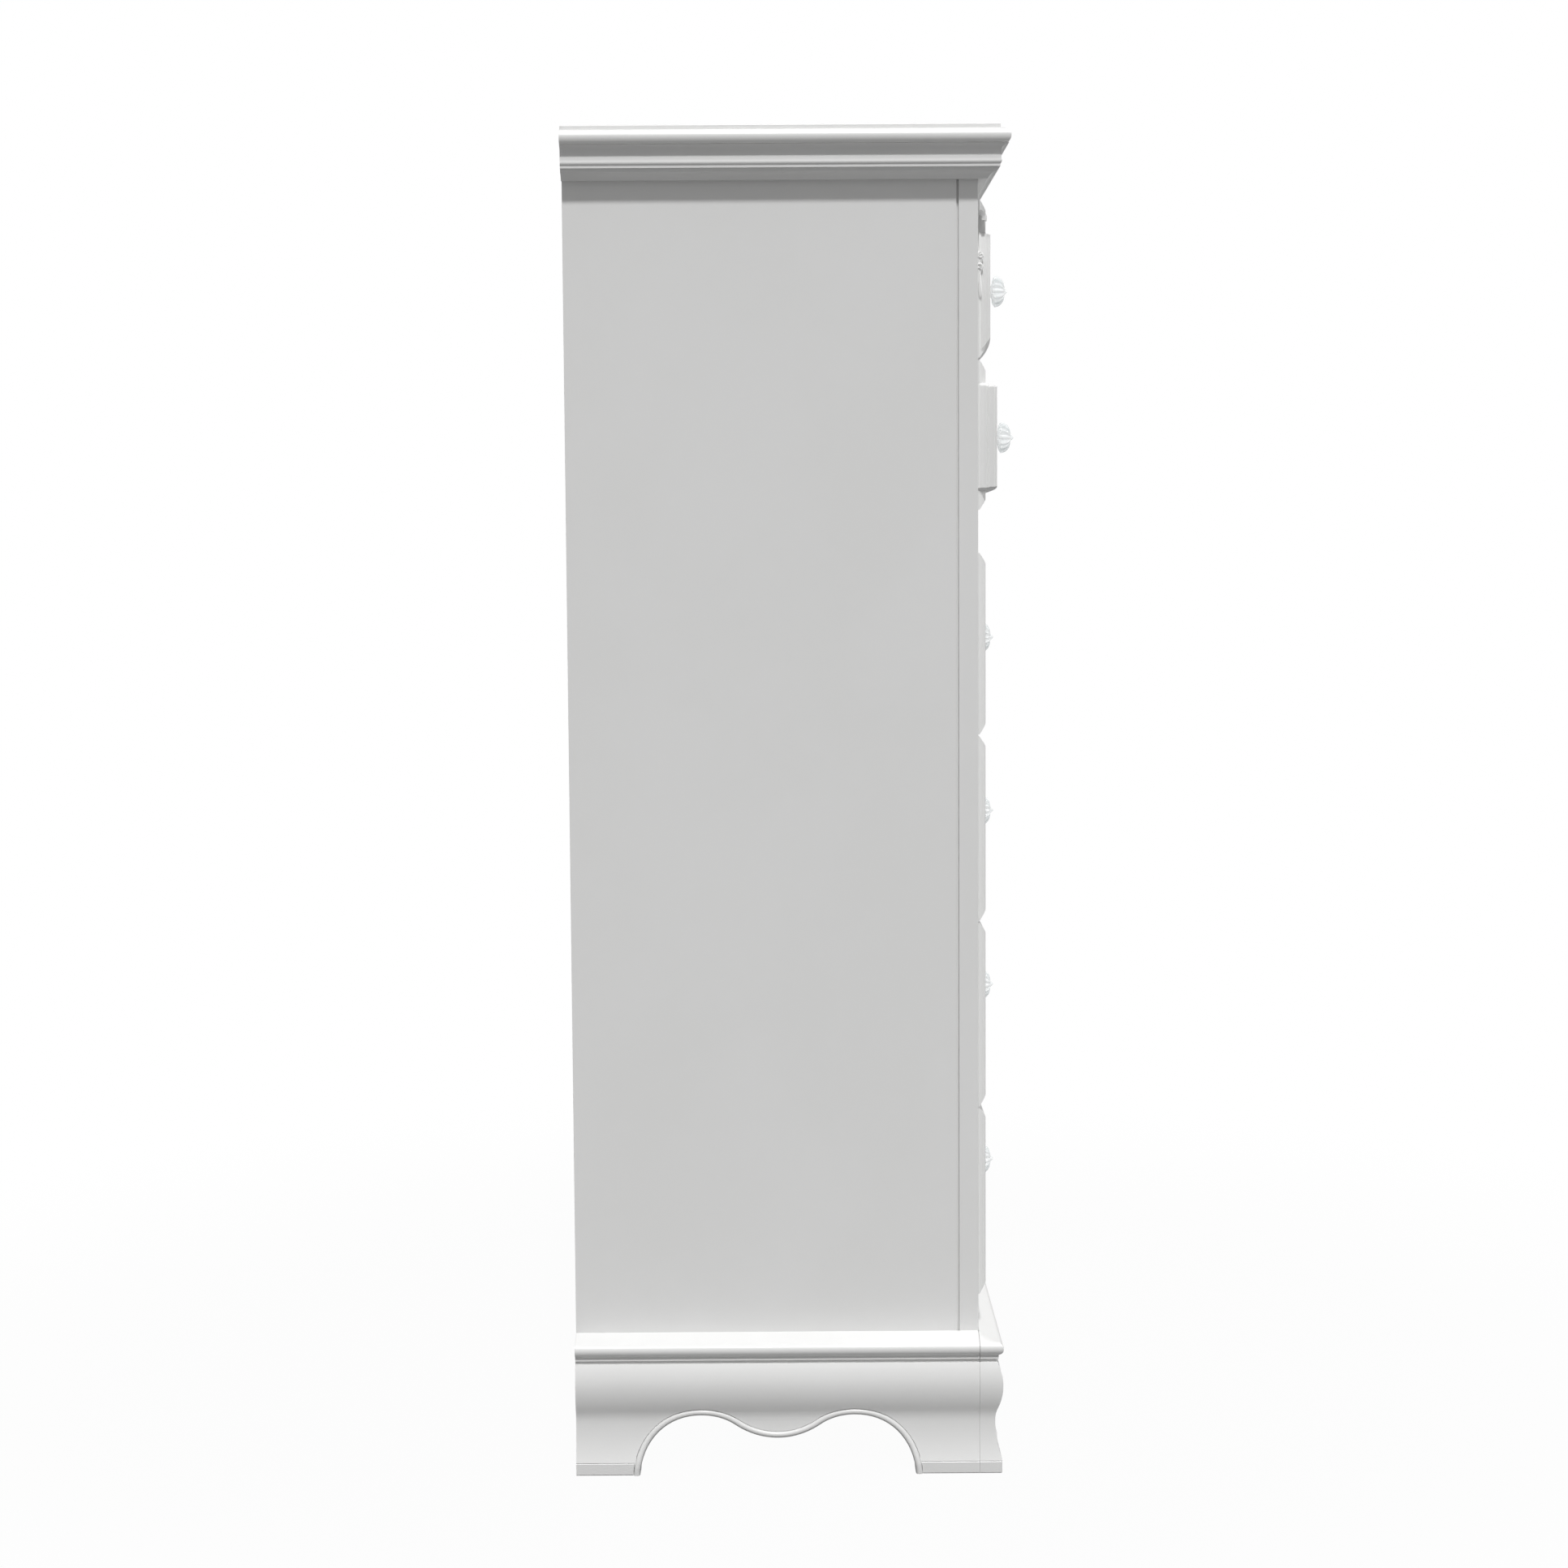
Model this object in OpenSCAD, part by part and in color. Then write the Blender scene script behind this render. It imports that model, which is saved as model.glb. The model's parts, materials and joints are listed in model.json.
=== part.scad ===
// Tall chest of six drawers: a case with a moulded cornice, a moulded base on an ogee
// plinth with scalloped aprons, and six lipped drawers that run on side-mounted slides.
// Millimetres. +Z is up and the drawers open towards -Y. X = 0 is the middle of the width,
// Z = 0 is the floor, and Y = 0 is half way between the back and the knobs' tips.

/* [Overall] */
// Height of the top face above the floor
total_h = 1350; // [1320:1:1400]
// Width of the case, between the outer faces of the side panels
case_w = 855; // [780:1:960]
// Depth of the case, from the back to the front face of the posts
case_d = 410; // [395:1:440]

/* [Case] */
// Thickness of the side panels
panel_t = 16; // [15:1:19]
// Thickness of the front posts and rails, front to back
frame_t = 19.5; // [18:0.5:22]
// Width of each front post
post_w = 32; // [28:1:36]
// Width of the shadow groove between a side panel and its post
groove_w = 2; // [1:0.5:3]
// Depth of that groove
groove_depth = 3; // [1:0.5:5]
// Height above the floor where the case stops and the feet go on
case_foot = 78; // [74:1:82]
// Thickness of the back panel
back_t = 4; // [3:0.5:6]

/* [Cornice and base] */
// Height of the top board with its rounded nose
top_board_h = 19; // [18:1:22]
// Height of the cove moulding under the top board
cornice_h = 33; // [30:1:36]
// How far the nose of the top stands out from the case
nose_out = 30.4; // [29:0.2:33]
// Height of the base moulding's top edge
base_top = 142; // [140:1:146]
// Height of the plinth, from the floor to the base moulding
plinth_h = 114; // [112:1:116]

/* [Scalloped aprons] */
// Height of the arches' crowns
arch_top = 60; // [54:1:64]
// How far the side pendant hangs below the arches
side_drop = 24; // [16:1:28]
// How far the front pendant hangs below the arches
front_drop = 28; // [16:1:34]
// Radius of the arches beside the feet
arch_r = 62; // [58:1:66]
// Radius of the side pendants
side_pendant_r = 77; // [70:1:84]
// Radius of the front pendant and of its hollows
front_pendant_r = 150; // [130:5:170]
// Width of each front foot, from the corner of the plinth
front_foot_w = 95; // [85:1:110]
// Width of the bead along the scalloped edge
bead_w = 7; // [5:1:9]

/* [Drawers] */
// Heights of the rows of drawers, from the top one down
row_heights = [157.5, 150.5, 184, 189, 190, 194];
// Height of the plain rail under the second row
middle_rail_h = 41; // [36:1:46]
// Height of the plain rail over the top row
top_rail_h = 16.5; // [14:0.5:20]
// How far a front's lip stands out from the posts
lip_out = 9; // [8:0.5:11]
// How far in from the side of the case a lip starts
lip_in = 12; // [10:1:16]
// Gap between the lips of two rows
row_gap = 2; // [1.5:0.5:3]
// Width of the bevel round a lip
bevel = 12; // [8:0.5:14]
// Thickness of the boards of a drawer box
box_t = 12; // [10:1:14]
// Thickness of a drawer's bottom panel
bottom_t = 5; // [4:0.5:6]
// Length of a drawer box behind its front
box_len = 350; // [340:5:355]

/* [Overlays] */
// Height of the overlay on the top drawer
overlay_1_h = 119; // [110:1:122]
// Height of the overlay on the second drawer
overlay_2_h = 109; // [100:1:116]
// How far the ends of the top overlay stand out from the posts
overlay_1_out = 13; // [12:0.5:16]
// How far the ends of the second overlay stand out from the posts
overlay_2_out = 19.5; // [17:0.5:22]
// How far the second overlay wraps round the ends of its drawer's lip
overlay_wrap = 2; // [1:0.5:3]
// How much further the overlays stand out in the middle
bow = 15; // [10:0.5:17]

/* [Knobs] */
// Distance between the two knobs of a drawer
knob_spacing = 428; // [380:2:460]
// Diameter of a knob
knob_d = 33; // [30:0.5:36]
// How far a knob's tip stands out from the surface that it is fixed to
knob_out = 22; // [20:0.5:26]
// How far above the row's middle the knobs of the two top drawers sit
knob_lift = 4; // [0:1:6]

/* [Hidden] */
DRAWERS = [1, 2, 3, 4, 5, 6];

$fn = 64;
big = 3000;
paint = "whitesmoke";
bare_wood = "burlywood";
steel = "silver";
crystal = "lightcyan";

side_x = case_w / 2;
cornice_base = total_h - top_board_h - cornice_h;
case_top = total_h - top_board_h;
rail_lap = 9;          // how far a lip covers the rail above or below its opening
lip_gap = 0.3;         // running gap between a lip and the face of the posts
inset_gap = 1.5;       // gap round the part of a front that goes into the opening
inset_t = 10;          // thickness of that part
slide_w = 12.7;        // room for a slide on each side of a box
slide_h = 45;          // height of a slide's fixed member
slide_wall = 1.5;      // sheet thickness of a slide
knob_bolt_r = 2;       // radius of the bolts that hold the knobs
bolt_hole_r = 2.3;     // radius of the holes that they pass through
flange_r = 6;          // radius of the flange under a knob
seat_r = 6.5;          // radius of the flat seat that a flange has on a bowed overlay
back_screw_r = 2;      // radius of the back panel's screws
bolt_head_r = 4;       // radius of a knob bolt's head
bolt_head_t = 2;       // thickness of a knob bolt's head
slide_front = 30;      // how far a slide starts in front of the back
slide_depth = 10;      // depth of a slide's fixed member
slide_play = 1;        // clearance between the members of a slide
wrap_gap = 0.6;        // gap between an overlay's wrapped ends and the posts
overlay_end_gap = 2;   // how far the first overlay stops short of the lip's ends
overlay_feet = [6, 19];   // height of each overlay above the foot of its row
overlay_clips = [14, 8];  // size of each overlay's clipped corners

// Top and bottom of each row, worked down from the cornice.
rows_top = cornice_base - top_rail_h;
function sum_to(n, i = 0) = i >= n ? 0 : row_heights[i] + sum_to(n, i + 1);
function rail_above(n) = n > 2 ? middle_rail_h : 0;
function row_top(n) = rows_top - sum_to(n - 1) - rail_above(n);
function row_bottom(n) = row_top(n) - row_heights[n - 1];
function row_middle(n) = (row_top(n) + row_bottom(n)) / 2;
function knob_z(n) = row_middle(n) + (n <= 2 ? knob_lift : 0);

// A bowed overlay follows an arc whose ends stand out `out` from the posts.
half_overlay = side_x - lip_in;
bow_r = (half_overlay * half_overlay + bow * bow) / (2 * bow);
function bowed(out, x) = out + bow - (bow_r - sqrt(bow_r * bow_r - x * x));
function face_out(n) = n == 1 ? bowed(overlay_1_out, knob_spacing / 2)
                     : n == 2 ? bowed(overlay_2_out, knob_spacing / 2) : lip_out;

// The back lies at +back_y, so that the knobs' tips lie as far in front of Y = 0.
back_y = (case_d + face_out(2) + knob_out) / 2;
front_y = back_y - case_d;

// Sections of the mouldings: [distance out from the case, height].
function arc(cx, cz, r, a0, a1, n = 6) =
    [for (i = [0 : n]) let (a = a0 + (a1 - a0) * i / n) [cx + r * cos(a), cz + r * sin(a)]];
nose_r = 7;
cap_in = nose_out - nose_r - 2.8;
top_section = concat(
    arc(nose_out - nose_r, case_top + nose_r, nose_r, -90, 90, 10),
    [[cap_in, case_top + 2 * nose_r], [cap_in, total_h - 1], [cap_in - 1, total_h]]);
cove_r = 7;
cove_in = nose_out - 2 - cove_r;
cornice_section = concat(
    [[8.8, cornice_base], [13.4, cornice_base + 5], [18, cornice_base + 10],
     [20.3, cornice_base + 12], [22, cornice_base + 15], [22, cornice_base + 20]],
    arc(cove_in + cove_r, cornice_base + 24.5, cove_r, 180, 95),
    [[cove_in + cove_r, case_top]]);
base_out = 24;
base_section = concat(
    [[17, plinth_h], [17, plinth_h + 4], [19, plinth_h + 4], [19, plinth_h + 8]],
    arc(base_out - 7, plinth_h + 15, 7, -60, 78),
    [[0, base_top]]);

// The plinth's ogee: [height, distance out] of its foot, the band's top, the neck, the bulge
// and its top edge, and the height where the neck's curve passes into the bulge's.
ogee_foot = [0, 22.6];
ogee_band = [13, 22.8];
ogee_neck = [54, 15.9];
ogee_bulge = [91, 23.6];
ogee_top = [plinth_h, 18.2];
ogee_turn = 66;
ogee_steps = 20;
ogee_slope = 2 * (ogee_bulge[1] - ogee_neck[1]) / (ogee_bulge[0] - ogee_neck[0]);
function between(z, a, b) = (z - a[0]) / (b[0] - a[0]);
function ogee_out(z) =
    z <= ogee_neck[0] ? ogee_neck[1] + (ogee_band[1] - ogee_neck[1])
        * pow(between(z, ogee_neck, ogee_band), 2)
    : z <= ogee_turn ? ogee_neck[1] + ogee_slope * pow(z - ogee_neck[0], 2)
        / (2 * (ogee_turn - ogee_neck[0]))
    : z <= ogee_bulge[0] ? ogee_bulge[1] - ogee_slope * pow(ogee_bulge[0] - z, 2)
        / (2 * (ogee_bulge[0] - ogee_turn))
    : ogee_bulge[1] - (ogee_bulge[1] - ogee_top[1]) * pow(between(z, ogee_bulge, ogee_top), 2);
plinth_section = concat([[ogee_foot[1], ogee_foot[0]]],
    [for (i = [0 : ogee_steps])
        let (z = ogee_band[0] + (ogee_top[0] - ogee_band[0]) * i / ogee_steps)
        [ogee_out(z), z]]);

module both_sides() {
    children();
    mirror([1, 0, 0]) children();
}

// A board between two X values, two distances from the back and two heights.
module board(x0, x1, from_back, to_front, z0, z1) {
    translate([x0, back_y - to_front, z0]) cube([x1 - x0, to_front - from_back, z1 - z0]);
}

// A moulding section wrapped round the front and both sides, flush at the back.
module wrapped(section, z0, z1) {
    last = len(section) - 1;
    right = [for (p = section) [side_x + p[0], p[1]]];
    left = [for (i = [last : -1 : 0]) [-right[i][0], right[i][1]]];
    intersection() {
        translate([0, front_y, 0]) rotate([90, 0, -90]) linear_extrude(big, center = true)
            polygon(concat([[-case_d, z0]], section, [[-case_d, z1]]));
        rotate([90, 0, 0]) linear_extrude(big, center = true) polygon(concat(right, left));
    }
}

module wrapped_front(section, z0, z1) {
    intersection() {
        wrapped(section, z0, z1);
        board(-big / 2, big / 2, case_d, case_d + 100, z0 - 1, z1 + 1);
    }
}

module wrapped_side(section, z0, z1) {
    intersection() {
        wrapped(section, z0, z1);
        board(side_x, side_x + 100, -1, case_d, z0 - 1, z1 + 1);
    }
}

// A pair of hollows with a pendant between them. `grow` widens it all round.
module scallop(hollow_r, pendant_r, drop, grow) {
    reach = hollow_r + pendant_r;
    c = sqrt(reach * reach - (reach - drop) * (reach - drop));
    meet = (hollow_r + grow) / reach;
    meet_x = c * (1 - meet);
    meet_z = arch_top - hollow_r + meet * (reach - drop);
    for (s = [-1, 1]) translate([s * c, arch_top - hollow_r]) circle(hollow_r + grow);
    difference() {
        translate([-meet_x, -10]) square([2 * meet_x, meet_z + 10]);
        translate([0, arch_top - drop + pendant_r]) circle(pendant_r - grow);
    }
}

module side_scallop(grow) {
    scallop(arch_r, side_pendant_r, side_drop, grow);
}

module front_scallop(grow) {
    end_c = side_x + ogee_foot[1] - front_foot_w - arch_r;
    scallop(front_pendant_r, front_pendant_r, front_drop, grow);
    difference() {
        translate([-end_c, -10]) square([2 * end_c, arch_top + grow + 10]);
        translate([-front_pendant_r, -20]) square([2 * front_pendant_r, 200]);
    }
    for (s = [-1, 1]) translate([s * end_c, arch_top - arch_r]) circle(arch_r + grow);
}

module side_cut(grow) {
    translate([0, back_y - case_d / 2, 0]) rotate([90, 0, 90])
        linear_extrude(big, center = true) side_scallop(grow);
}

module front_cut(grow) {
    rotate([90, 0, 0]) linear_extrude(big, center = true) front_scallop(grow);
}

module side_panel() {
    color(paint) difference() {
        board(side_x - panel_t, side_x, 0, case_d - frame_t, case_foot, case_top);
        board(side_x - groove_depth, side_x + 1, case_d - frame_t - groove_w, case_d,
              case_foot - 1, case_top + 1);
        board(side_x - panel_t - 1, side_x - panel_t / 2, -1, back_t, case_foot - 1,
              case_top + 1);
    }
}

module side_panel_left() { mirror([1, 0, 0]) side_panel(); }

module side_panel_right() { side_panel(); }

module front_posts() {
    color(paint) both_sides()
        board(side_x - post_w, side_x, case_d - frame_t, case_d, case_foot, case_top);
}

module back_panel() {
    color(bare_wood) board(-side_x + panel_t / 2, side_x - panel_t / 2, 0, back_t, case_foot,
                           case_top);
}

module top_board() {
    color(paint) wrapped(top_section, case_top, total_h);
}

module cornice_front() {
    color(paint) wrapped_front(cornice_section, cornice_base, case_top);
}

module cornice_sides() {
    color(paint) both_sides() wrapped_side(cornice_section, cornice_base, case_top);
}

// A rail across the front, between the posts.
module rail(z0, z1) {
    board(-side_x + post_w, side_x - post_w, case_d - frame_t, case_d, z0, z1);
}

module top_rail() {
    color(paint) rail(rows_top - rail_lap, case_top);
}

module middle_rail() {
    color(paint) rail(row_top(3) - rail_lap, row_bottom(2) + rail_lap);
}

module divider_rails() {
    color(paint) for (n = [1, 3, 4, 5]) rail(row_bottom(n) - rail_lap,
                                                 row_bottom(n) + rail_lap);
}

module bottom_rail() {
    color(paint) rail(case_foot, row_bottom(6) + rail_lap);
}

module base_moulding_front() {
    color(paint) wrapped_front(base_section, plinth_h, base_top);
}

module base_moulding_sides() {
    color(paint) both_sides() wrapped_side(base_section, plinth_h, base_top);
}

module front_apron() {
    color(paint) difference() {
        wrapped_front(plinth_section, 0, plinth_h);
        front_cut(bead_w);
    }
}

module side_apron() {
    color(paint) difference() {
        wrapped_side(plinth_section, 0, plinth_h);
        side_cut(bead_w);
    }
}

module side_apron_left() { mirror([1, 0, 0]) side_apron(); }

module side_apron_right() { side_apron(); }

// The beads that edge the three scalloped aprons.
module apron_beads() {
    color(paint) {
        both_sides() difference() {
            intersection() {
                wrapped_side(plinth_section, 0, plinth_h);
                side_cut(bead_w);
            }
            side_cut(0);
        }
        difference() {
            intersection() {
                wrapped_front(plinth_section, 0, plinth_h);
                front_cut(bead_w);
            }
            front_cut(0);
        }
    }
}

// Square blocks in the four corners of the plinth, which carry the case.
module corner_blocks() {
    block = 40;
    color(bare_wood) both_sides() {
        board(side_x - block, side_x, case_d - block, case_d, 0, case_foot);
        board(side_x - block, side_x, 0, block, 0, case_foot);
    }
}

// Battens that carry the slides, and the rails behind the back panel.
module inner_battens() {
    rear_rail = 18;
    color(bare_wood) {
        both_sides() for (n = DRAWERS)
            board(side_x - post_w, side_x - panel_t, back_t + rear_rail, case_d - frame_t,
                  row_middle(n) - slide_h / 2, row_middle(n) + slide_h / 2);
        for (z = [case_foot, case_top - 60])
            board(-side_x + panel_t, side_x - panel_t, back_t, back_t + rear_rail, z, z + 60);
    }
}

// The fixed member of a slide: a channel that is open towards the drawer.
module fixed_member(z) {
    x_out = side_x - post_w;
    x_in = x_out - slide_depth;
    difference() {
        board(x_in, x_out, slide_front, case_d - frame_t, z - slide_h / 2, z + slide_h / 2);
        board(x_in - 1, x_out - slide_wall, slide_front - 1, case_d,
              z - slide_h / 2 + slide_wall, z + slide_h / 2 - slide_wall);
    }
}

module cabinet_runners() {
    color(steel) both_sides() for (n = DRAWERS) fixed_member(row_middle(n));
}

// Wood screws that hold the back panel to the side panels.
module back_screws() {
    color(steel) both_sides() for (z = [200 : 180 : 1280])
        translate([side_x - panel_t * 3 / 4, back_y, z]) rotate([90, 0, 0])
            cylinder(h = 25, r = back_screw_r);
}

// A drawer's front: a bevelled lip over the posts and an inset in the opening.
module drawer_front(n) {
    z0 = row_bottom(n) + row_gap / 2;
    z1 = row_top(n) - row_gap / 2;
    x1 = side_x - lip_in;
    lip_t = lip_out - lip_gap;
    inset_x = side_x - post_w - inset_gap;
    color(paint) difference() {
        union() {
            translate([0, front_y - lip_gap, 0]) intersection() {
                rotate([90, 0, 0]) linear_extrude(lip_t)
                    translate([-x1, z0]) square([2 * x1, z1 - z0]);
                rotate([90, 0, -90]) linear_extrude(big, center = true)
                    polygon([[0, z0], [lip_t - bevel / 2, z0], [lip_t, z0 + bevel],
                             [lip_t, z1 - bevel], [lip_t - bevel / 2, z1], [0, z1]]);
                linear_extrude(big)
                    polygon([[-x1, 0], [-x1, bevel / 2 - lip_t], [bevel - x1, -lip_t],
                             [x1 - bevel, -lip_t], [x1, bevel / 2 - lip_t], [x1, 0]]);
            }
            board(-inset_x, inset_x, case_d - inset_t + lip_gap, case_d + lip_gap,
                  row_bottom(n) + rail_lap + inset_gap, row_top(n) - rail_lap - inset_gap);
        }
        at_knobs(n) cylinder(h = 60, r = bolt_hole_r, center = true);
    }
}

// Both knob places of a drawer, with +Z pointing out of the front face of the posts.
module at_knobs(n) {
    for (s = [-1, 1]) translate([s * knob_spacing / 2, front_y, knob_z(n)])
        rotate([90, 0, 0]) children();
}

box_x = side_x - post_w - slide_w;
function box_low(n) = row_bottom(n) + rail_lap + 6;
function box_high(n) = row_top(n) - rail_lap - 14;
box_front = case_d - inset_t + lip_gap;
groove_in = 6;

// The two sides and the back of a drawer box, grooved for the bottom panel.
module drawer_box(n) {
    color(bare_wood) difference() {
        union() {
            both_sides() board(box_x - box_t, box_x, box_front - box_len, box_front,
                               box_low(n), box_high(n));
            board(-box_x + box_t, box_x - box_t, box_front - box_len,
                  box_front - box_len + box_t, box_low(n), box_high(n));
        }
        bottom_board(n);
    }
}

module bottom_board(n) {
    board(-box_x + box_t - groove_in, box_x - box_t + groove_in,
          box_front - box_len + box_t - groove_in, box_front, box_low(n) + 8,
          box_low(n) + 8 + bottom_t);
}

module drawer_bottom(n) {
    color(bare_wood) bottom_board(n);
}

// The moving members of a drawer's slides, inside the fixed channels.
module drawer_runners(n) {
    z = row_middle(n);
    half = slide_h / 2 - slide_wall - slide_play;
    color(steel) both_sides()
        board(box_x, side_x - post_w - slide_wall - slide_play, slide_front + 2,
              box_front - slide_play, z - half, z + half);
}

// A melon-shaped knob head, turned about +Z, with a small button at its tip.
module knob_head(z0) {
    head_t = 15.5;
    button = 3;
    translate([0, 0, z0]) rotate_extrude() polygon(concat(
        [[0, 0]],
        [for (i = [0 : 10]) let (a = -75 + i * 15)
            [knob_d / 2 * pow(cos(a), 0.6), head_t / 2 + head_t / 2 * sin(a) / sin(75)]],
        [[3, head_t], [1.5, head_t + button], [0, head_t + button]]));
}

stem_len = knob_out - 18.5;

module drawer_knobs(n) {
    color(crystal) at_knobs(n) knob_head(face_out(n) + stem_len);
}

// The flange, stem and bolt that hold each knob.
module drawer_knob_stems(n) {
    color(steel) at_knobs(n) {
        translate([0, 0, face_out(n)]) cylinder(h = stem_len, r = flange_r);
        translate([0, 0, -inset_t]) cylinder(h = inset_t + face_out(n), r = knob_bolt_r);
        translate([0, 0, lip_gap - inset_t - bolt_head_t])
            cylinder(h = bolt_head_t, r = bolt_head_r);
    }
}

// An overlay: an outline with clipped corners, cut to a bowed front. One that is wider than
// the lip wraps round the lip's ends, almost as far back as the posts.
module overlay(n, h, out, x1) {
    steps = 12;
    z0 = row_bottom(n) + overlay_feet[n - 1];
    clip = overlay_clips[n - 1];
    lip_x = min(x1, half_overlay);
    color(paint) difference() {
        intersection() {
            translate([0, front_y, z0]) rotate([90, 0, 0]) linear_extrude(100)
                polygon([[-x1, clip], [clip - x1, 0], [x1 - clip, 0], [x1, clip],
                         [x1, h - clip], [x1 - clip, h], [clip - x1, h], [-x1, h - clip]]);
            translate([0, front_y, 0]) linear_extrude(total_h) polygon(concat(
                [[lip_x, -wrap_gap], [lip_x, -lip_out], [-lip_x, -lip_out],
                 [-lip_x, -wrap_gap], [-side_x, -wrap_gap]],
                [for (i = [-steps : steps]) let (x = x1 * i / steps) [x, -bowed(out, x)]],
                [[side_x, -wrap_gap]]));
        }
        at_knobs(n) cylinder(h = 100, r = bolt_hole_r);
        at_knobs(n) translate([0, 0, face_out(n)]) cylinder(h = bow, r = seat_r);
    }
}

module drawer_1_overlay() {
    overlay(1, overlay_1_h, overlay_1_out, half_overlay - overlay_end_gap);
}

module drawer_2_overlay() {
    overlay(2, overlay_2_h, overlay_2_out, half_overlay + overlay_wrap);
}

// Small carved scrolls with a leaf, on both ends of the top drawer's lip.
module drawer_1_carvings() {
    end_x = side_x - lip_in;
    color(paint) both_sides() translate([end_x, front_y - lip_gap - 1, row_middle(1)])
        rotate([90, 0, 0]) linear_extrude(6) difference() {
            union() {
                translate([1, 22]) circle(5);
                translate([1, 13]) circle(6);
                polygon([[-1, 12], [5, 9], [4, -10], [-1, -22]]);
            }
            translate([-20, -40]) square([20, 90]);
        }
}

side_panel_left();
side_panel_right();
front_posts();
back_panel();
top_board();
cornice_front();
cornice_sides();
top_rail();
middle_rail();
divider_rails();
bottom_rail();
base_moulding_front();
base_moulding_sides();
front_apron();
side_apron_left();
side_apron_right();
apron_beads();
corner_blocks();
inner_battens();
cabinet_runners();
back_screws();
for (n = DRAWERS) {
    drawer_front(n);
    drawer_box(n);
    drawer_bottom(n);
    drawer_knobs(n);
    drawer_knob_stems(n);
    drawer_runners(n);
}
drawer_1_overlay();
drawer_2_overlay();
drawer_1_carvings();
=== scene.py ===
"""Looks of a tall chest of six drawers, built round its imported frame."""

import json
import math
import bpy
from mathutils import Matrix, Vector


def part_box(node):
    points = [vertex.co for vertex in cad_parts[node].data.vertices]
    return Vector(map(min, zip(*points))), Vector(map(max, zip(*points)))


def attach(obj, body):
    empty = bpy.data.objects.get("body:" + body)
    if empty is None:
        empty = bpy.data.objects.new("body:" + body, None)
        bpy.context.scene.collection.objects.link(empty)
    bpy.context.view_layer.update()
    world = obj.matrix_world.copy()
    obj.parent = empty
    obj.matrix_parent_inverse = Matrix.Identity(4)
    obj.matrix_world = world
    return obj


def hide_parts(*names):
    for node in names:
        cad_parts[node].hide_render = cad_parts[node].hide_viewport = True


bl_info = {
    "name": "Tall Chest of Drawers",
    "version": (1, 0, 0),
    "blender": (4, 5, 0),
    "location": "3D View > Sidebar > Chest",
    "description": "Builds a white painted chest of drawers with moulded fronts and clear knobs",
    "category": "Object",
}

import bmesh
import bpy
from bpy.props import FloatProperty, FloatVectorProperty, IntProperty, PointerProperty
from mathutils import Matrix, Vector

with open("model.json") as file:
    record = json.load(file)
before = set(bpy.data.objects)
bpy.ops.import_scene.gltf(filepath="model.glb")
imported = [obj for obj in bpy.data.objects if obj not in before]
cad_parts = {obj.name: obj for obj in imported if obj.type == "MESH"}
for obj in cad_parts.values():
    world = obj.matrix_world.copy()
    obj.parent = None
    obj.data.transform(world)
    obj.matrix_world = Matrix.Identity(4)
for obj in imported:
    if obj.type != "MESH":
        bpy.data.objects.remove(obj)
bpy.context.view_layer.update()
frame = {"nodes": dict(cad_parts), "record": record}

MM = 0.001
UP = Vector((0, 0, 1))
ROWS = range(1, 7)
POST_WIDTH = 32 * MM
LIP_OUT = 9 * MM       # how far a plain drawer front stands out from the posts
CLEAR = 0.3 * MM       # gap between the drawers' lips and the posts
FINE_EDGE = 0.3 * MM   # rounding of the rails and the back
BOARD_EDGE = 0.6 * MM  # rounding of the plinth boards and of the boards behind the lips
MERGE = 1e-6           # vertices nearer than this become one
FLOOR_GLOW = 0.97      # how nearly white the floor looks beside the chest
SCREW_ROWS = 7         # screws down each side of the back
SLIDE_SCREWS = (0.08, 0.36, 0.64, 0.92)   # places of a slide's screws along it
MATERIAL_OF = {"white_paint": "white_lacquer", "bare_wood": "softwood",
               "panel_board": "plywood", "zinc_steel": "zinc_plate",
               "bright_metal": "bright_metal", "clear_crystal": "clear_crystal"}

# Places that the frame gives.
SIDE_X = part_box("side_panel_right")[1].x
BACK_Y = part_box("back_panel")[1].y
FRONT_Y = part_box("front_posts")[0].y
TOP_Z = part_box("top_board")[1].z
CASE_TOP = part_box("cornice_front")[1].z
CORNICE_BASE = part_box("cornice_front")[0].z
PLINTH_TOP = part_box("front_apron")[1].z
BASE_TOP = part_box("base_moulding_front")[1].z


# ---------------------------------------------------------------- properties

def length(name, description, millimetres):
    return FloatProperty(name=name, description=description, default=millimetres * MM,
                         min=0.0, subtype="DISTANCE", unit="LENGTH")


def number(name, description, value):
    return FloatProperty(name=name, description=description, default=value)


def colour(name, description, value):
    return FloatVectorProperty(name=name, description=description, default=value,
                               subtype="COLOR", min=0.0, max=1.0)


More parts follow.
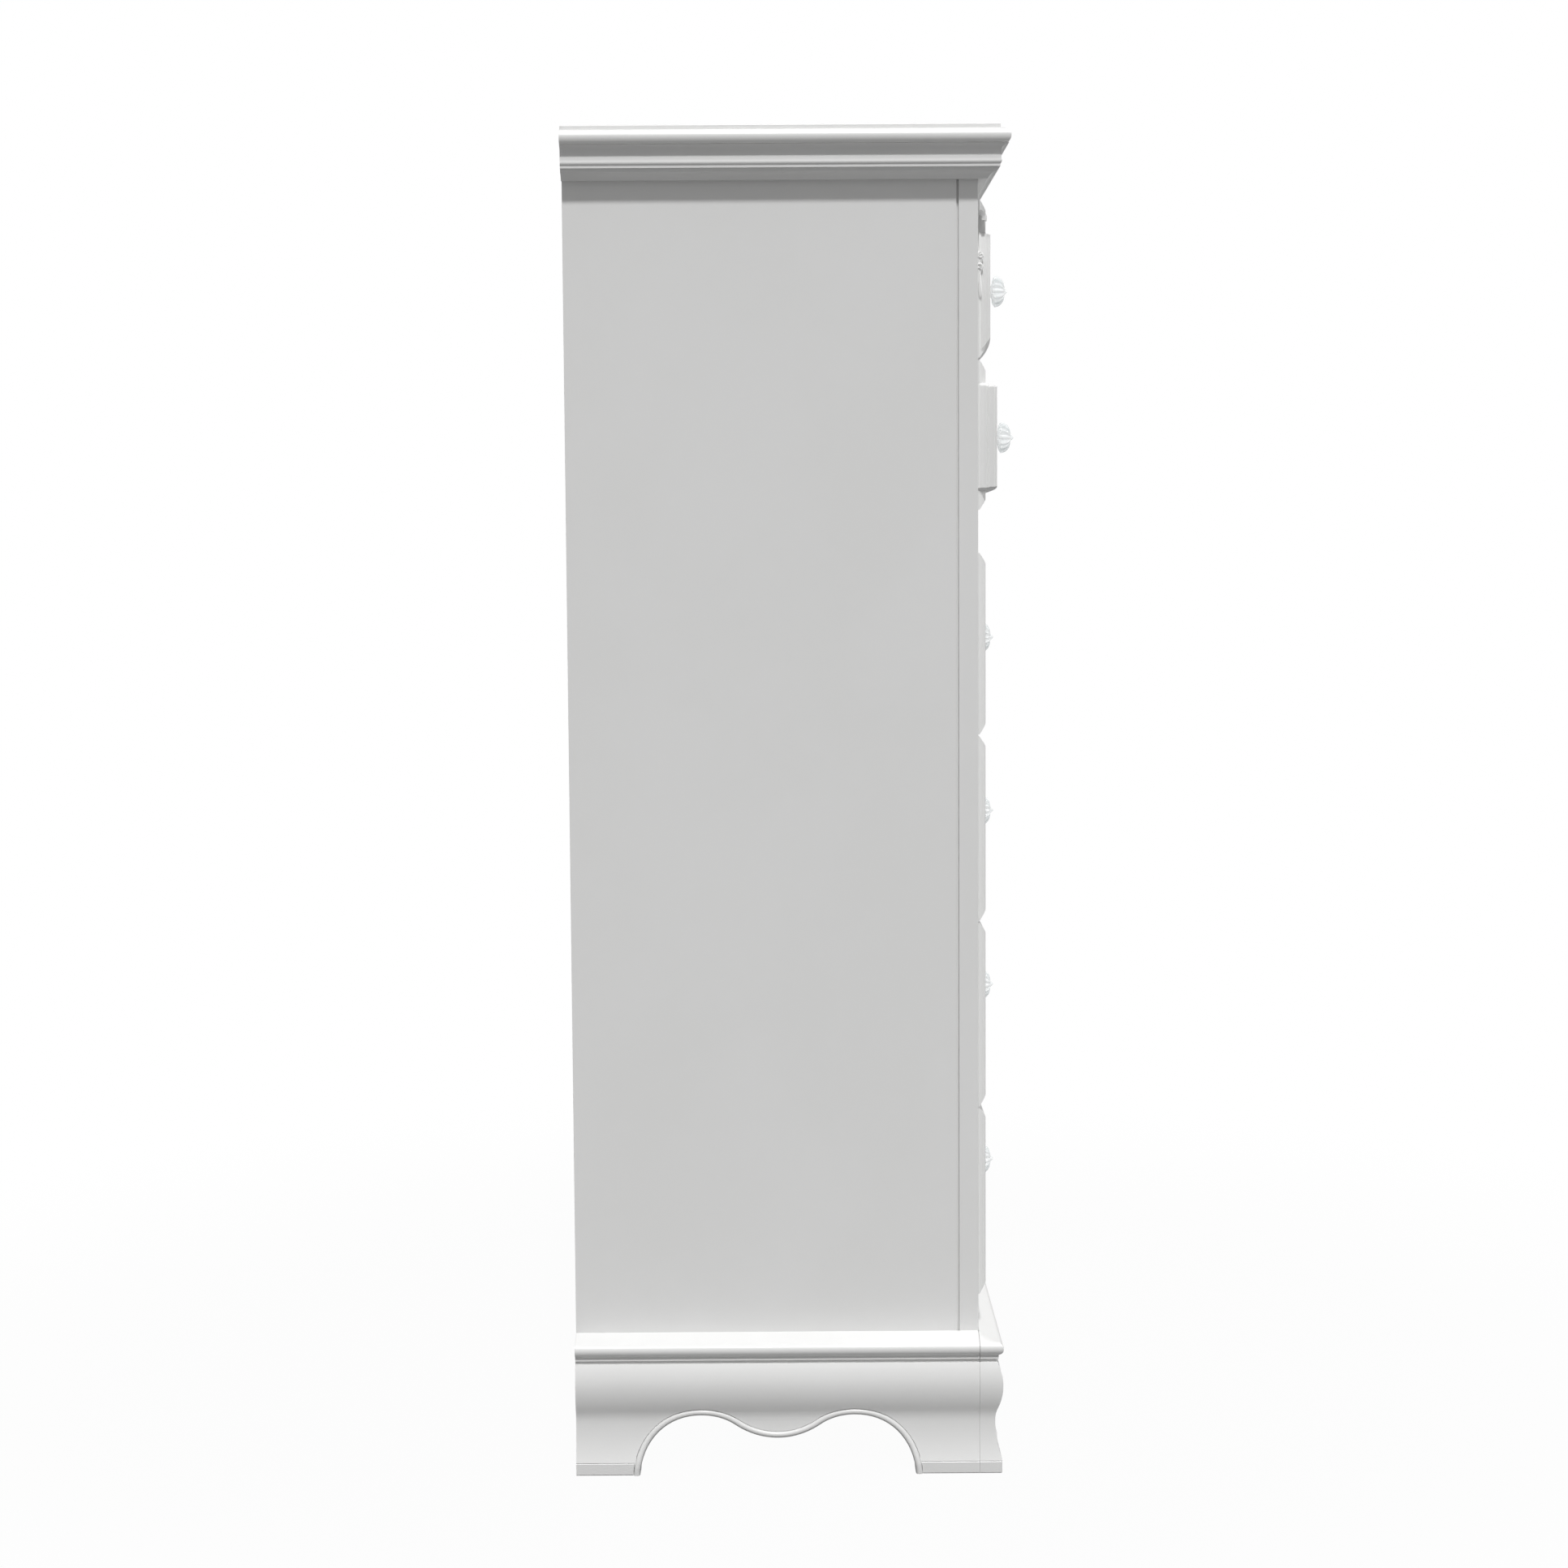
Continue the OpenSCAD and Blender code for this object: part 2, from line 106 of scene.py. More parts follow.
class ChestSizes(bpy.types.PropertyGroup):
    """Sizes of the mouldings, edges and knobs"""

    eased_edge: length("Eased edge", "Rounding of the edges of plain boards", 0.8)
    slide_thickness: length("Slide", "Thickness of a slide's moving member", 10.2)
    joint_edge: length("Joint edge", "Rounding where two mouldings meet", 1.5)
    moulding_edge: length("Moulding edge", "Rounding of a moulding's arrises", 0.25)
    nose_out: length("Nose", "How far the top's nose stands out from the case", 30.4)
    nose_radius: length("Nose radius", "Radius of the rounded nose", 8.0)
    groove_width: length("Groove width", "Shadow groove between panel and post", 2.0)
    groove_depth: length("Groove depth", "Depth of that groove", 3.0)
    bead_width: length("Bead", "Width of the bead along the scalloped aprons", 7.0)
    arch_top: length("Arch height", "Height of the arches' crowns", 60.0)
    arch_radius: length("Arch radius", "Radius of the arches beside the feet", 62.0)
    side_drop: length("Side pendant", "How far the side pendant hangs", 24.0)
    front_drop: length("Front pendant", "How far the front pendant hangs", 28.0)
    side_pendant: length("Side pendant radius", "Radius of the side pendants", 77.0)
    front_pendant: length("Front pendant radius", "Radius of the front pendant", 150.0)
    front_foot: length("Front foot", "Width of each front foot", 95.0)
    knob_diameter: length("Knob", "Diameter of a knob's head", 33.0)
    bow: length("Bow", "How much further the overlays stand out in the middle", 15.0)
    knob_lobes: IntProperty(name="Lobes", description="Flutes round a knob", default=14, min=6)


class ChestFinish(bpy.types.PropertyGroup):
    """Colours of the chest's finishes"""

    paint: colour("Paint", "White satin lacquer", (0.80, 0.80, 0.795))
    paint_shade: colour("Paint shade", "The lacquer where it is thinner", (0.785, 0.785, 0.778))
    wood: colour("Wood", "Light wood of the drawer boxes", (0.60, 0.40, 0.21))
    wood_dark: colour("Wood grain", "Grain lines of that wood", (0.40, 0.23, 0.10))
    board: colour("Panel board", "Thin plywood of the back and bottoms", (0.50, 0.34, 0.19))
    board_dark: colour("Panel grain", "Grain of the plywood", (0.36, 0.22, 0.11))
    floor: colour("Floor", "Pale studio floor", (0.22, 0.22, 0.22))


class ChestStage(bpy.types.PropertyGroup):
    """Camera and light"""

    distance: length("Distance", "From the camera to the left side of the case", 2825.6)
    height: length("Height", "Height of the camera above the floor", 946.8)
    from_back: length("From back", "How far in front of the back the camera stands", 210.2)
    lens: number("Lens", "Focal length in millimetres", 64.98)
    pitch: number("Pitch", "How far the camera looks down, in degrees", 4.951)
    yaw: number("Yaw", "Turn towards the front, in degrees", 0.102)
    roll: number("Roll", "Roll of the camera, in degrees", -0.3555)
    key_strength: number("Key light", "Strength of the even light from left and above", 2.42)
    top_power: number("Top light", "Power in watts", 50.0)
    front_power: number("Front light", "Power in watts", 85.0)
    sky: number("Sky", "Strength of the soft light all round", 0.36)


# ------------------------------------------------------------ shader groups

def new_group(name, inputs, outputs):
    """A shader node group with named sockets: (name, socket type, default)."""
    group = bpy.data.node_groups.new(name, "ShaderNodeTree")
    for label, kind, default in inputs:
        socket = group.interface.new_socket(label, in_out="INPUT", socket_type=kind)
        if default is not None:
            socket.default_value = default
    for label, kind in outputs:
        group.interface.new_socket(label, in_out="OUTPUT", socket_type=kind)
    start, end = group.nodes.new("NodeGroupInput"), group.nodes.new("NodeGroupOutput")
    return Wiring(group), start, end


def set_inputs(node, values):
    for name, value in values.items():
        node.inputs[name].default_value = value


class Wiring:
    """Short words for adding nodes to a tree and linking them."""

    def __init__(self, tree):
        self.tree = tree

    def node(self, kind, **values):
        made = self.tree.nodes.new(kind)
        for key, value in values.items():
            setattr(made, key, value)
        return made

    def link(self, source, target):
        self.tree.links.new(source, target)

    def feed(self, value, socket):
        if isinstance(value, bpy.types.NodeSocket):
            self.link(value, socket)
        else:
            socket.default_value = value

    def noise(self, vector, scale, detail=3.0, roughness=0.5, distortion=0.0):
        made = self.node("ShaderNodeTexNoise")
        set_inputs(made, {"Scale": scale, "Detail": detail, "Roughness": roughness,
                          "Distortion": distortion})
        self.link(vector, made.inputs["Vector"])
        return made.outputs["Fac"]

    def mapped(self, vector, key, value):
        made = self.node("ShaderNodeMapping")
        made.inputs[key].default_value = value
        self.link(vector, made.inputs["Vector"])
        return made.outputs["Vector"]

    def ramp(self, value, low, high, to_low=0.0, to_high=1.0):
        made = self.node("ShaderNodeMapRange", interpolation_type="SMOOTHSTEP")
        set_inputs(made, {"From Min": low, "From Max": high, "To Min": to_low,
                          "To Max": to_high})
        self.link(value, made.inputs["Value"])
        return made.outputs["Result"]

    def mix(self, factor, a, b):
        made = self.node("ShaderNodeMix", data_type="RGBA")
        self.link(factor, made.inputs["Factor"])
        self.feed(a, made.inputs["A"])
        self.feed(b, made.inputs["B"])
        return made.outputs["Result"]

    def math(self, operation, a, b=0.0):
        made = self.node("ShaderNodeMath", operation=operation)
        self.feed(a, made.inputs[0])
        self.feed(b, made.inputs[1])
        return made.outputs["Value"]


def sprayed_coat_group():
    """Fine orange peel and faint clouds of a sprayed lacquer."""
    w, start, end = new_group("Sprayed Coat", [
        ("Vector", "NodeSocketVector", None), ("Peel Scale", "NodeSocketFloat", 900.0),
        ("Cloud Scale", "NodeSocketFloat", 5.0)],
        [("Height", "NodeSocketFloat"), ("Clouds", "NodeSocketFloat"),
         ("Roughness", "NodeSocketFloat")])
    peel = w.noise(start.outputs["Vector"], 900.0, 2.0)
    w.link(start.outputs["Peel Scale"], peel.node.inputs["Scale"])
    clouds = w.noise(start.outputs["Vector"], 5.0, 4.0, 0.6)
    w.link(start.outputs["Cloud Scale"], clouds.node.inputs["Scale"])
    w.link(peel, end.inputs["Height"])
    w.link(w.ramp(clouds, 0.35, 0.65), end.inputs["Clouds"])
    w.link(w.ramp(clouds, 0.3, 0.7, 0.33, 0.43), end.inputs["Roughness"])


def wood_grain_group():
    """Long wavy grain with pores, along the Y axis of its vector."""
    w, start, end = new_group("Wood Grain", [
        ("Vector", "NodeSocketVector", None), ("Light", "NodeSocketColor", (0.6, 0.4, 0.2, 1)),
        ("Dark", "NodeSocketColor", (0.4, 0.2, 0.1, 1))],
        [("Color", "NodeSocketColor"), ("Height", "NodeSocketFloat"),
         ("Roughness", "NodeSocketFloat")])
    along = w.mapped(start.outputs["Vector"], "Scale", (1.0, 0.06, 1.0))
    rings = w.noise(along, 38.0, 3.0, 0.55, 0.6)
    bands = w.math("FRACT", w.math("MULTIPLY", rings, 7.0))
    pores = w.noise(w.mapped(start.outputs["Vector"], "Scale", (1.0, 0.02, 1.0)), 900.0, 2.0)
    grain = w.math("MULTIPLY", w.ramp(bands, 0.0, 1.0), w.ramp(rings, 0.35, 0.7))
    mask = w.math("ADD", grain, w.ramp(pores, 0.55, 0.75, 0.0, 0.35))
    w.link(w.mix(w.ramp(mask, 0.0, 1.3), start.outputs["Light"], start.outputs["Dark"]),
           end.inputs["Color"])
    w.link(w.math("ADD", bands, pores), end.inputs["Height"])
    w.link(w.ramp(mask, 0.0, 1.2, 0.48, 0.66), end.inputs["Roughness"])


def rubbed_edges_group():
    """A mask of arrises and corners, where a finish is rubbed."""
    w, start, end = new_group("Rubbed Edges", [
        ("Vector", "NodeSocketVector", None)], [("Mask", "NodeSocketFloat")])
    bevel = w.node("ShaderNodeBevel", samples=6)
    bevel.inputs["Radius"].default_value = 0.0012
    geometry = w.node("ShaderNodeNewGeometry")
    dot = w.node("ShaderNodeVectorMath", operation="DOT_PRODUCT")
    w.link(bevel.outputs["Normal"], dot.inputs[0])
    w.link(geometry.outputs["True Normal"], dot.inputs[1])
    edge = w.ramp(dot.outputs["Value"], 0.80, 0.99, 1.0, 0.0)
    broken = w.ramp(w.noise(start.outputs["Vector"], 60.0, 4.0, 0.7), 0.45, 0.62)
    w.link(w.math("MULTIPLY", edge, broken), end.inputs["Mask"])


# ----------------------------------------------------------------- materials

def new_material(name):
    material = bpy.data.materials.new(name)
    material.use_nodes = True
    shader = material.node_tree.nodes["Principled BSDF"]
    w = Wiring(material.node_tree)
    where = w.node("ShaderNodeTexCoord").outputs["Object"]
    return shader, w, where


def placed(w, group, vector):
    made = w.node("ShaderNodeGroup", node_tree=bpy.data.node_groups[group])
    w.link(vector, made.inputs["Vector"])
    return made


def bumped(w, shader, height, distance, strength=1.0):
    bump = w.node("ShaderNodeBump")
    bump.inputs["Strength"].default_value = strength
    bump.inputs["Distance"].default_value = distance
    w.link(height, bump.inputs["Height"])
    w.link(bump.outputs["Normal"], shader.inputs["Normal"])


def make_paint(finish):
    shader, w, where = new_material("white_lacquer")
    coat = placed(w, "Sprayed Coat", where)
    edges = placed(w, "Rubbed Edges", where)
    body = w.mix(coat.outputs["Clouds"], (*finish.paint, 1), (*finish.paint_shade, 1))
    rubbed = w.math("MULTIPLY", edges.outputs["Mask"], 0.25)
    w.link(w.mix(rubbed, body, (0.70, 0.69, 0.66, 1)), shader.inputs["Base Color"])
    w.link(coat.outputs["Roughness"], shader.inputs["Roughness"])
    set_inputs(shader, {"Coat Weight": 0.15, "Coat Roughness": 0.25})
    bumped(w, shader, coat.outputs["Height"], 0.00004, 0.6)


def make_wood(name, light, dark, turn, across_backs=False):
    shader, w, where = new_material(name)
    along = w.mapped(where, "Rotation", turn)
    if across_backs:
        parts = w.node("ShaderNodeSeparateXYZ")
        w.link(w.node("ShaderNodeTexCoord").outputs["Normal"], parts.inputs["Vector"])
        facing_back = w.ramp(w.math("ABSOLUTE", parts.outputs["Y"]), 0.7, 0.71)
        along = w.mix(facing_back, along, w.mapped(where, "Rotation", (0, 0, math.pi / 2)))
    grain = placed(w, "Wood Grain", along)
    set_inputs(grain, {"Light": (*light, 1), "Dark": (*dark, 1)})
    w.link(grain.outputs["Color"], shader.inputs["Base Color"])
    w.link(grain.outputs["Roughness"], shader.inputs["Roughness"])
    bumped(w, shader, grain.outputs["Height"], 0.00015, 0.5)


def make_zinc():
    shader, w, where = new_material("zinc_plate")
    shader.inputs["Metallic"].default_value = 1.0
    spangle = w.node("ShaderNodeTexVoronoi")
    spangle.inputs["Scale"].default_value = 180.0
    w.link(where, spangle.inputs["Vector"])
    patches = w.ramp(spangle.outputs["Distance"], 0.0, 0.8)
    w.link(w.mix(patches, (0.60, 0.61, 0.63, 1), (0.48, 0.49, 0.51, 1)),
           shader.inputs["Base Color"])
    drawn = w.noise(w.mapped(where, "Scale", (1.0, 0.01, 1.0)), 1500.0, 2.0)
    w.link(w.ramp(drawn, 0.3, 0.7, 0.26, 0.42), shader.inputs["Roughness"])
    bumped(w, shader, drawn, 0.00003, 0.4)


def make_bright_metal():
    shader, w, where = new_material("bright_metal")
    shader.inputs["Metallic"].default_value = 1.0
    haze = w.noise(where, 220.0, 4.0, 0.65)
    w.link(w.mix(w.ramp(haze, 0.35, 0.7), (0.80, 0.80, 0.80, 1), (0.70, 0.70, 0.70, 1)),
           shader.inputs["Base Color"])
    w.link(w.ramp(haze, 0.3, 0.7, 0.08, 0.20), shader.inputs["Roughness"])


def make_crystal():
    shader, w, where = new_material("clear_crystal")
    set_inputs(shader, {"Base Color": (1, 1, 1, 1), "Transmission Weight": 1.0, "IOR": 1.50})
    smear = w.noise(where, 120.0, 3.0, 0.6)
    w.link(w.ramp(smear, 0.55, 0.8, 0.0, 0.03), shader.inputs["Roughness"])


def make_floor(finish):
    shader, w, where = new_material("studio_floor")
    set_inputs(shader, {"Base Color": (*finish.floor, 1), "Roughness": 0.9,
                        "Specular IOR Level": 0.1})
    glow = w.node("ShaderNodeEmission")
    glow.inputs["Strength"].default_value = 1.0
    pick = w.node("ShaderNodeMixShader")
    seen = w.node("ShaderNodeLightPath").outputs["Is Camera Ray"]
    distance = w.node("ShaderNodeVectorMath", operation="LENGTH")
    w.link(where, distance.inputs[0])
    fade = w.ramp(distance.outputs["Value"], 0.6, 1.6, FLOOR_GLOW, 1.0)
    w.link(w.math("MULTIPLY", seen, fade), pick.inputs["Fac"])
    w.link(shader.outputs["BSDF"], pick.inputs[1])
    w.link(glow.outputs["Emission"], pick.inputs[2])
    w.link(pick.outputs["Shader"], w.tree.nodes["Material Output"].inputs["Surface"])


def finish_of(slot, node):
    """The material of a slot. The back panel's grain stands upright."""
    name = "plywood_upright" if node == "back_panel" else MATERIAL_OF[slot]
    return bpy.data.materials[name]


# ------------------------------------------------------------ bmesh helpers

def everything(bm):
    return bm.verts[:] + bm.edges[:] + bm.faces[:]


def arc(centre_out, centre_z, radius, start, end, steps):
    """Points of an arc in a section, from one angle in degrees to another."""
    points = []
    for i in range(steps + 1):
        a = math.radians(start + (end - start) * i / steps)
        points.append((centre_out + radius * math.cos(a), centre_z + radius * math.sin(a)))
    return points


def prism(bm, corners, along):
    """A closed prism: a polygon of corners, extruded by a vector."""
    face = bm.faces.new([bm.verts.new(corner) for corner in corners])
    grown = bmesh.ops.extrude_face_region(bm, geom=[face])
    verts = [item for item in grown["geom"] if isinstance(item, bmesh.types.BMVert)]
    bmesh.ops.translate(bm, verts=verts, vec=along)


def run(section, origin, out, along):
    """One straight run of a moulding, in a bmesh of its own."""
    bm = bmesh.new()
    prism(bm, [origin + out * (p[0] * MM) + UP * (p[1] * MM) for p in section], along)
    return bm


def keep_side(bm, point, normal, fill=False):
    """Cuts away what lies on the far side of a plane."""
    cut = bmesh.ops.bisect_plane(bm, geom=everything(bm), plane_co=point, plane_no=normal,
                                 clear_outer=True, dist=1e-7)
    if fill:
        edges = [e for e in cut["geom_cut"] if isinstance(e, bmesh.types.BMEdge)]
        bmesh.ops.holes_fill(bm, edges=edges)


def as_object(bm, name):
    """Links a new object with a bmesh's faces, and frees the bmesh."""
    mesh = bpy.data.meshes.new(name)
    bm.to_mesh(mesh)
    bm.free()
    obj = bpy.data.objects.new(name, mesh)
    bpy.context.scene.collection.objects.link(obj)
    return obj


def evaluated(obj):
    """A bmesh of an object as its curve or its modifiers make it."""
    graph = bpy.context.evaluated_depsgraph_get()
    mesh = bpy.data.meshes.new_from_object(obj.evaluated_get(graph))
    bm = bmesh.new()
    bm.from_mesh(mesh)
    bpy.data.meshes.remove(mesh)
    return bm


def join(target, *others):
    for other in others:
        mesh = bpy.data.meshes.new("joined")
        other.to_mesh(mesh)
        target.from_mesh(mesh)
        other.free()
        bpy.data.meshes.remove(mesh)


def ease_ends(bm, width):
    """Rounds the arrises of a moulding's ends, where it meets the next board."""
    ends = [f for f in bm.faces if abs(f.normal.y) > 0.99 and abs(
        f.calc_center_median().y - FRONT_Y) < 1e-5]
    edges = {e for f in ends for e in f.edges if e.is_manifold and e.calc_face_angle(0) > 1}
    bmesh.ops.bevel(bm, geom=list(edges), offset=width, segments=2, profile=0.5,
                    affect="EDGES", material=-1, clamp_overlap=True)


def ease(bm, width, segments=2, sharper_than=40):
    """Rounds the arrises of a piece."""
    limit = math.radians(sharper_than)
    edges = [e for e in bm.edges if e.is_manifold and e.calc_face_angle(0) > limit]
    bmesh.ops.bevel(bm, geom=edges, offset=width, segments=segments, profile=0.5,
                    affect="EDGES", material=-1, clamp_overlap=True)


def settle_normals(mesh, limit):
    """Lets the broad faces lead the shading, so that flat boards stay flat."""
    facing = [face.normal.copy() for face in mesh.polygons]
    weight = [face.normal * face.area for face in mesh.polygons]
    around = [[] for _ in mesh.vertices]
    for face in mesh.polygons:
        for vertex in face.vertices:
            around[vertex].append(face.index)
    alike = math.cos(math.radians(limit))
    normals = []
    for face in mesh.polygons:
        own = facing[face.index]
        for vertex in face.vertices:
            total = Vector((0, 0, 0))
            for other in around[vertex]:
                if own.dot(facing[other]) > alike:
                    total += weight[other]
            normals.append(total.normalized() if total.length > 0 else own)
    mesh.normals_split_custom_set(normals)


def finished(name, bm, body, slot, node, smooth_below=32):
    """Makes the object of a piece, sets it on its body, and hides the frame's part that it stands
    for.
    """
    bmesh.ops.remove_doubles(bm, verts=bm.verts, dist=MERGE)
    bmesh.ops.recalc_face_normals(bm, faces=bm.faces)
    for face in bm.faces:
        face.smooth = True
    for edge in bm.edges:
        edge.smooth = edge.calc_face_angle(0) < math.radians(smooth_below)
    obj = as_object(bm, name)
    settle_normals(obj.data, smooth_below)
    obj.data.materials.append(finish_of(slot, node))
    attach(obj, body)
    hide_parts(node)


def painted(name, bm, body, node):
    finished(name, bm, body, "white_paint", node)


def carved(bm, cutter, operation="DIFFERENCE"):
    """The piece less the cutter, or what they share. Both are closed meshes."""
    objects = []
    for part in (bm, cutter):
        bmesh.ops.recalc_face_normals(part, faces=part.faces)
        objects.append(as_object(part, "carving"))
    modifier = objects[0].modifiers.new("cut", "BOOLEAN")
    modifier.operation = operation
    modifier.solver = "EXACT"
    modifier.object = objects[1]
    result = evaluated(objects[0])
    for obj in objects:
        data = obj.data
        bpy.data.objects.remove(obj)
        bpy.data.meshes.remove(data)
    bmesh.ops.dissolve_degenerate(result, edges=result.edges, dist=MERGE)
    return result


def mirrored(bm):
    """A copy of a piece, mirrored to the other side of the chest."""
    copy = bm.copy()
    bmesh.ops.scale(copy, verts=copy.verts, vec=(-1, 1, 1))
    bmesh.ops.reverse_faces(copy, faces=copy.faces)
    return copy


# ----------------------------------------------------------------- mouldings

LEFT = Vector((-1, 0, 0))
AHEAD = Vector((0, -1, 0))


def front_run(section):
    """A moulding across the front, with short returns as far as the posts' front face."""
    reach = 0.08
    start = Vector((-SIDE_X - reach, FRONT_Y, 0))
    bm = run(section, start, AHEAD, Vector((2 * (SIDE_X + reach), 0, 0)))
    corners = [(side, Vector((side * SIDE_X, FRONT_Y, 0))) for side in (-1, 1)]
    for side, corner in corners:
        keep_side(bm, corner, Vector((side, 1, 0)).normalized())
    for side, corner in corners:
        end = run(section, corner, Vector((side, 0, 0)), AHEAD * reach)
        keep_side(end, corner, Vector((-side, -1, 0)).normalized())
        join(bm, end)
    bmesh.ops.remove_doubles(bm, verts=bm.verts, dist=MERGE)
    bmesh.ops.dissolve_degenerate(bm, edges=bm.edges, dist=MERGE)
    bmesh.ops.holes_fill(bm, edges=[e for e in bm.edges if e.is_boundary])
    return bm


def side_run(section):
    """The same moulding along the left side, from the back to the joint by the post."""
    start = Vector((-SIDE_X, BACK_Y, 0))
    return run(section, start, LEFT, AHEAD * (BACK_Y - FRONT_Y))


def in_mm(value):
    return value / MM


def top_section(sizes):
    base, top = in_mm(CASE_TOP), in_mm(TOP_Z)
    nose, radius = in_mm(sizes.nose_out), in_mm(sizes.nose_radius)
    centre = nose - radius
    cap = centre - 1.8
    cap_edge = 1.2
    return (arc(centre, base + 6, radius, -48, 90, 14)
            + [(cap, base + 6 + radius)]
            + arc(cap - cap_edge, top - cap_edge, cap_edge, 0, 90, 4))


def cornice_section(sizes):
    base, top = in_mm(CORNICE_BASE), in_mm(CASE_TOP)
    quirk = 1.0
    cove = 7.0
    wall = in_mm(sizes.nose_out) - 2.2 - cove
    return ([(0, base), (8.8, base)]
            + arc(20.5, base - 5.5, 12.9, 155, 103, 6)
            + [(18.0, base + 10), (20.3, base + 10.4), (20.3, base + 11.6)]
            + arc(wall - 2.6, base + 15.6, 3.2, -55, 25, 6)
            + [(wall, base + 19)]
            + arc(wall + cove, base + 24.8, cove, 180, 96, 8)
            + [(wall + cove, top - quirk), (wall + cove - 2, top - quirk),
               (wall + cove - 2, top), (0, top)])


def base_section():
    low, high = in_mm(PLINTH_TOP), in_mm(BASE_TOP)
    nose = 7.0
    return ([(0, low), (17, low), (17, low + 3.6), (19.2, low + 3.6), (19.2, low + 7.4)]
            + arc(24 - nose, low + 14.6, nose, -62, 76, 14)
            + [(2.0, high - 0.8), (0, high)])


# The plinth's ogee: [height, distance out] of its foot, the band's top, the neck, the
# bulge and its top edge, and the height where the neck's curve passes into the bulge's.
OGEE_KEYS = [(0, 22.6), (13, 22.8), (54, 15.9), (91, 23.6), (in_mm(PLINTH_TOP), 18.2)]
OGEE_TURN = 66


def ogee(z):
    """How far the plinth's face stands out at a height, both in millimetres."""
    (_, foot), (band, band_out), (neck, neck_out), (bulge, bulge_out), (top, top_out) = OGEE_KEYS
    if z <= band:
        return foot + (band_out - foot) * z / band
    if z <= neck:
        return neck_out + (band_out - neck_out) * ((neck - z) / (neck - band)) ** 2
    slope = 2 * (bulge_out - neck_out) / (bulge - neck)
    if z <= OGEE_TURN:
        return neck_out + slope * (z - neck) ** 2 / (2 * (OGEE_TURN - neck))
    if z <= bulge:
        return bulge_out - slope * (bulge - z) ** 2 / (2 * (bulge - OGEE_TURN))
    return bulge_out - (bulge_out - top_out) * ((z - bulge) / (top - bulge)) ** 2


def plinth_section(inset=0.0):
    """The ogee, with a flat band round the foot. The inset takes it back all along."""
    band = OGEE_KEYS[1][0]
    top = OGEE_KEYS[-1][0]
    steps = 34
    heights = [band + (top - band) * i / steps for i in range(steps + 1)]
    face = [(ogee(z) - inset, z) for z in heights]
    return ([(0, 0), (21.6 - inset, 0), (22.6 - inset, 1.0), (22.6 - inset, band - 1.2),
             (22.0 - inset, band - 0.4)] + face + [(0, top)])


def moulded_runs(section, sizes, name, node):
    """A moulding's board across the front, and its pair of boards along the sides."""
    for place, make in (("front", front_run), ("sides", side_run)):
        bm = make(section)
        ease_ends(bm, sizes.joint_edge)
        ease(bm, sizes.moulding_edge, 1)
        if place == "sides":
            join(bm, mirrored(bm))
        painted(f"{name}_{place}_moulded", bm, "cabinet", f"{node}_{place}")


# ----------------------------------------------------------- scalloped edges

def scallop(sizes, front, grow):
    """The outline of a cut-out, from its left foot to its right foot, as (place, height)."""
    top = in_mm(sizes.arch_top)
    arch = in_mm(sizes.arch_radius)
    if front:
        pendant = hollow = in_mm(sizes.front_pendant)
        drop = in_mm(sizes.front_drop)
    else:
        pendant, hollow = in_mm(sizes.side_pendant), arch
        drop = in_mm(sizes.side_drop)
    reach = hollow + pendant
    centre = math.sqrt(reach ** 2 - (reach - drop) ** 2)
    tilt = math.degrees(math.atan2(centre, reach - drop))
    low = arc(0, top - drop + pendant, pendant - grow, -90, -90 + tilt, 12)
    half = low + arc(centre, top - hollow, hollow + grow, 90 + tilt, 90, 10)[1:]
    end = centre
    if front:
        end = in_mm(SIDE_X) + OGEE_KEYS[0][1] - in_mm(sizes.front_foot) - arch
        half.append((end, top + grow))
    foot = math.degrees(math.asin((arch - top) / (arch + grow)))
    half += arc(end, top - arch, arch + grow, 90, foot, 16)[1:]
    return [(-x, z) for x, z in reversed(half)] + half[1:]


def cutter(sizes, front, grow, beyond=0.6):
    """A closed prism of a cut-out's outline, long enough to pass through the plinth."""
    outline = scallop(sizes, front, grow)
    below = 20
    outline = [(outline[0][0], -below)] + outline + [(outline[-1][0], -below)]
    bm = bmesh.new()
    if front:
        corners = [Vector((x * MM, FRONT_Y - beyond, z * MM)) for x, z in outline]
        prism(bm, corners, Vector((0, 2 * beyond, 0)))
    else:
        middle = (BACK_Y + FRONT_Y) / 2
        corners = [Vector((-SIDE_X - beyond, middle - q * MM, z * MM)) for q, z in outline]
        prism(bm, corners, Vector((2 * beyond, 0, 0)))
    return bm


def tube(points, radius):
    """A round bead along a path, with closed ends, as a bmesh."""
    curve = bpy.data.curves.new("bead_path", "CURVE")
    curve.dimensions = "3D"
    spline = curve.splines.new("POLY")
    spline.points.add(len(points) - 1)
    for target, place in zip(spline.points, points):
        target.co = (*place, 1)
    curve.bevel_depth = radius
    curve.bevel_resolution = 5
    curve.use_fill_caps = True
    obj = bpy.data.objects.new("bead_path", curve)
    bpy.context.scene.collection.objects.link(obj)
    bm = evaluated(obj)
    bpy.data.objects.remove(obj)
    bpy.data.curves.remove(curve)
    bmesh.ops.remove_doubles(bm, verts=bm.verts, dist=MERGE)
    return bm


def edge_bead(sizes, front):
    """A half-round bead that follows a scalloped edge over the ogee."""
    half_width = in_mm(sizes.bead_width) / 2
    middle = (BACK_Y + FRONT_Y) / 2
    outline = scallop(sizes, front, half_width)
    outline = [(outline[0][0], -6)] + outline + [(outline[-1][0], -6)]
    path = []
    for place, z in outline:
        out = (ogee(max(z, 0)) - 1.6) * MM
        if front:
            path.append((place * MM, FRONT_Y - out, z * MM))
        else:
            path.append((-SIDE_X - out, middle - place * MM, z * MM))
    bm = tube(path, (half_width - 0.25) * MM)
    keep_side(bm, Vector((0, 0, 0)), -UP, fill=True)
    return bm


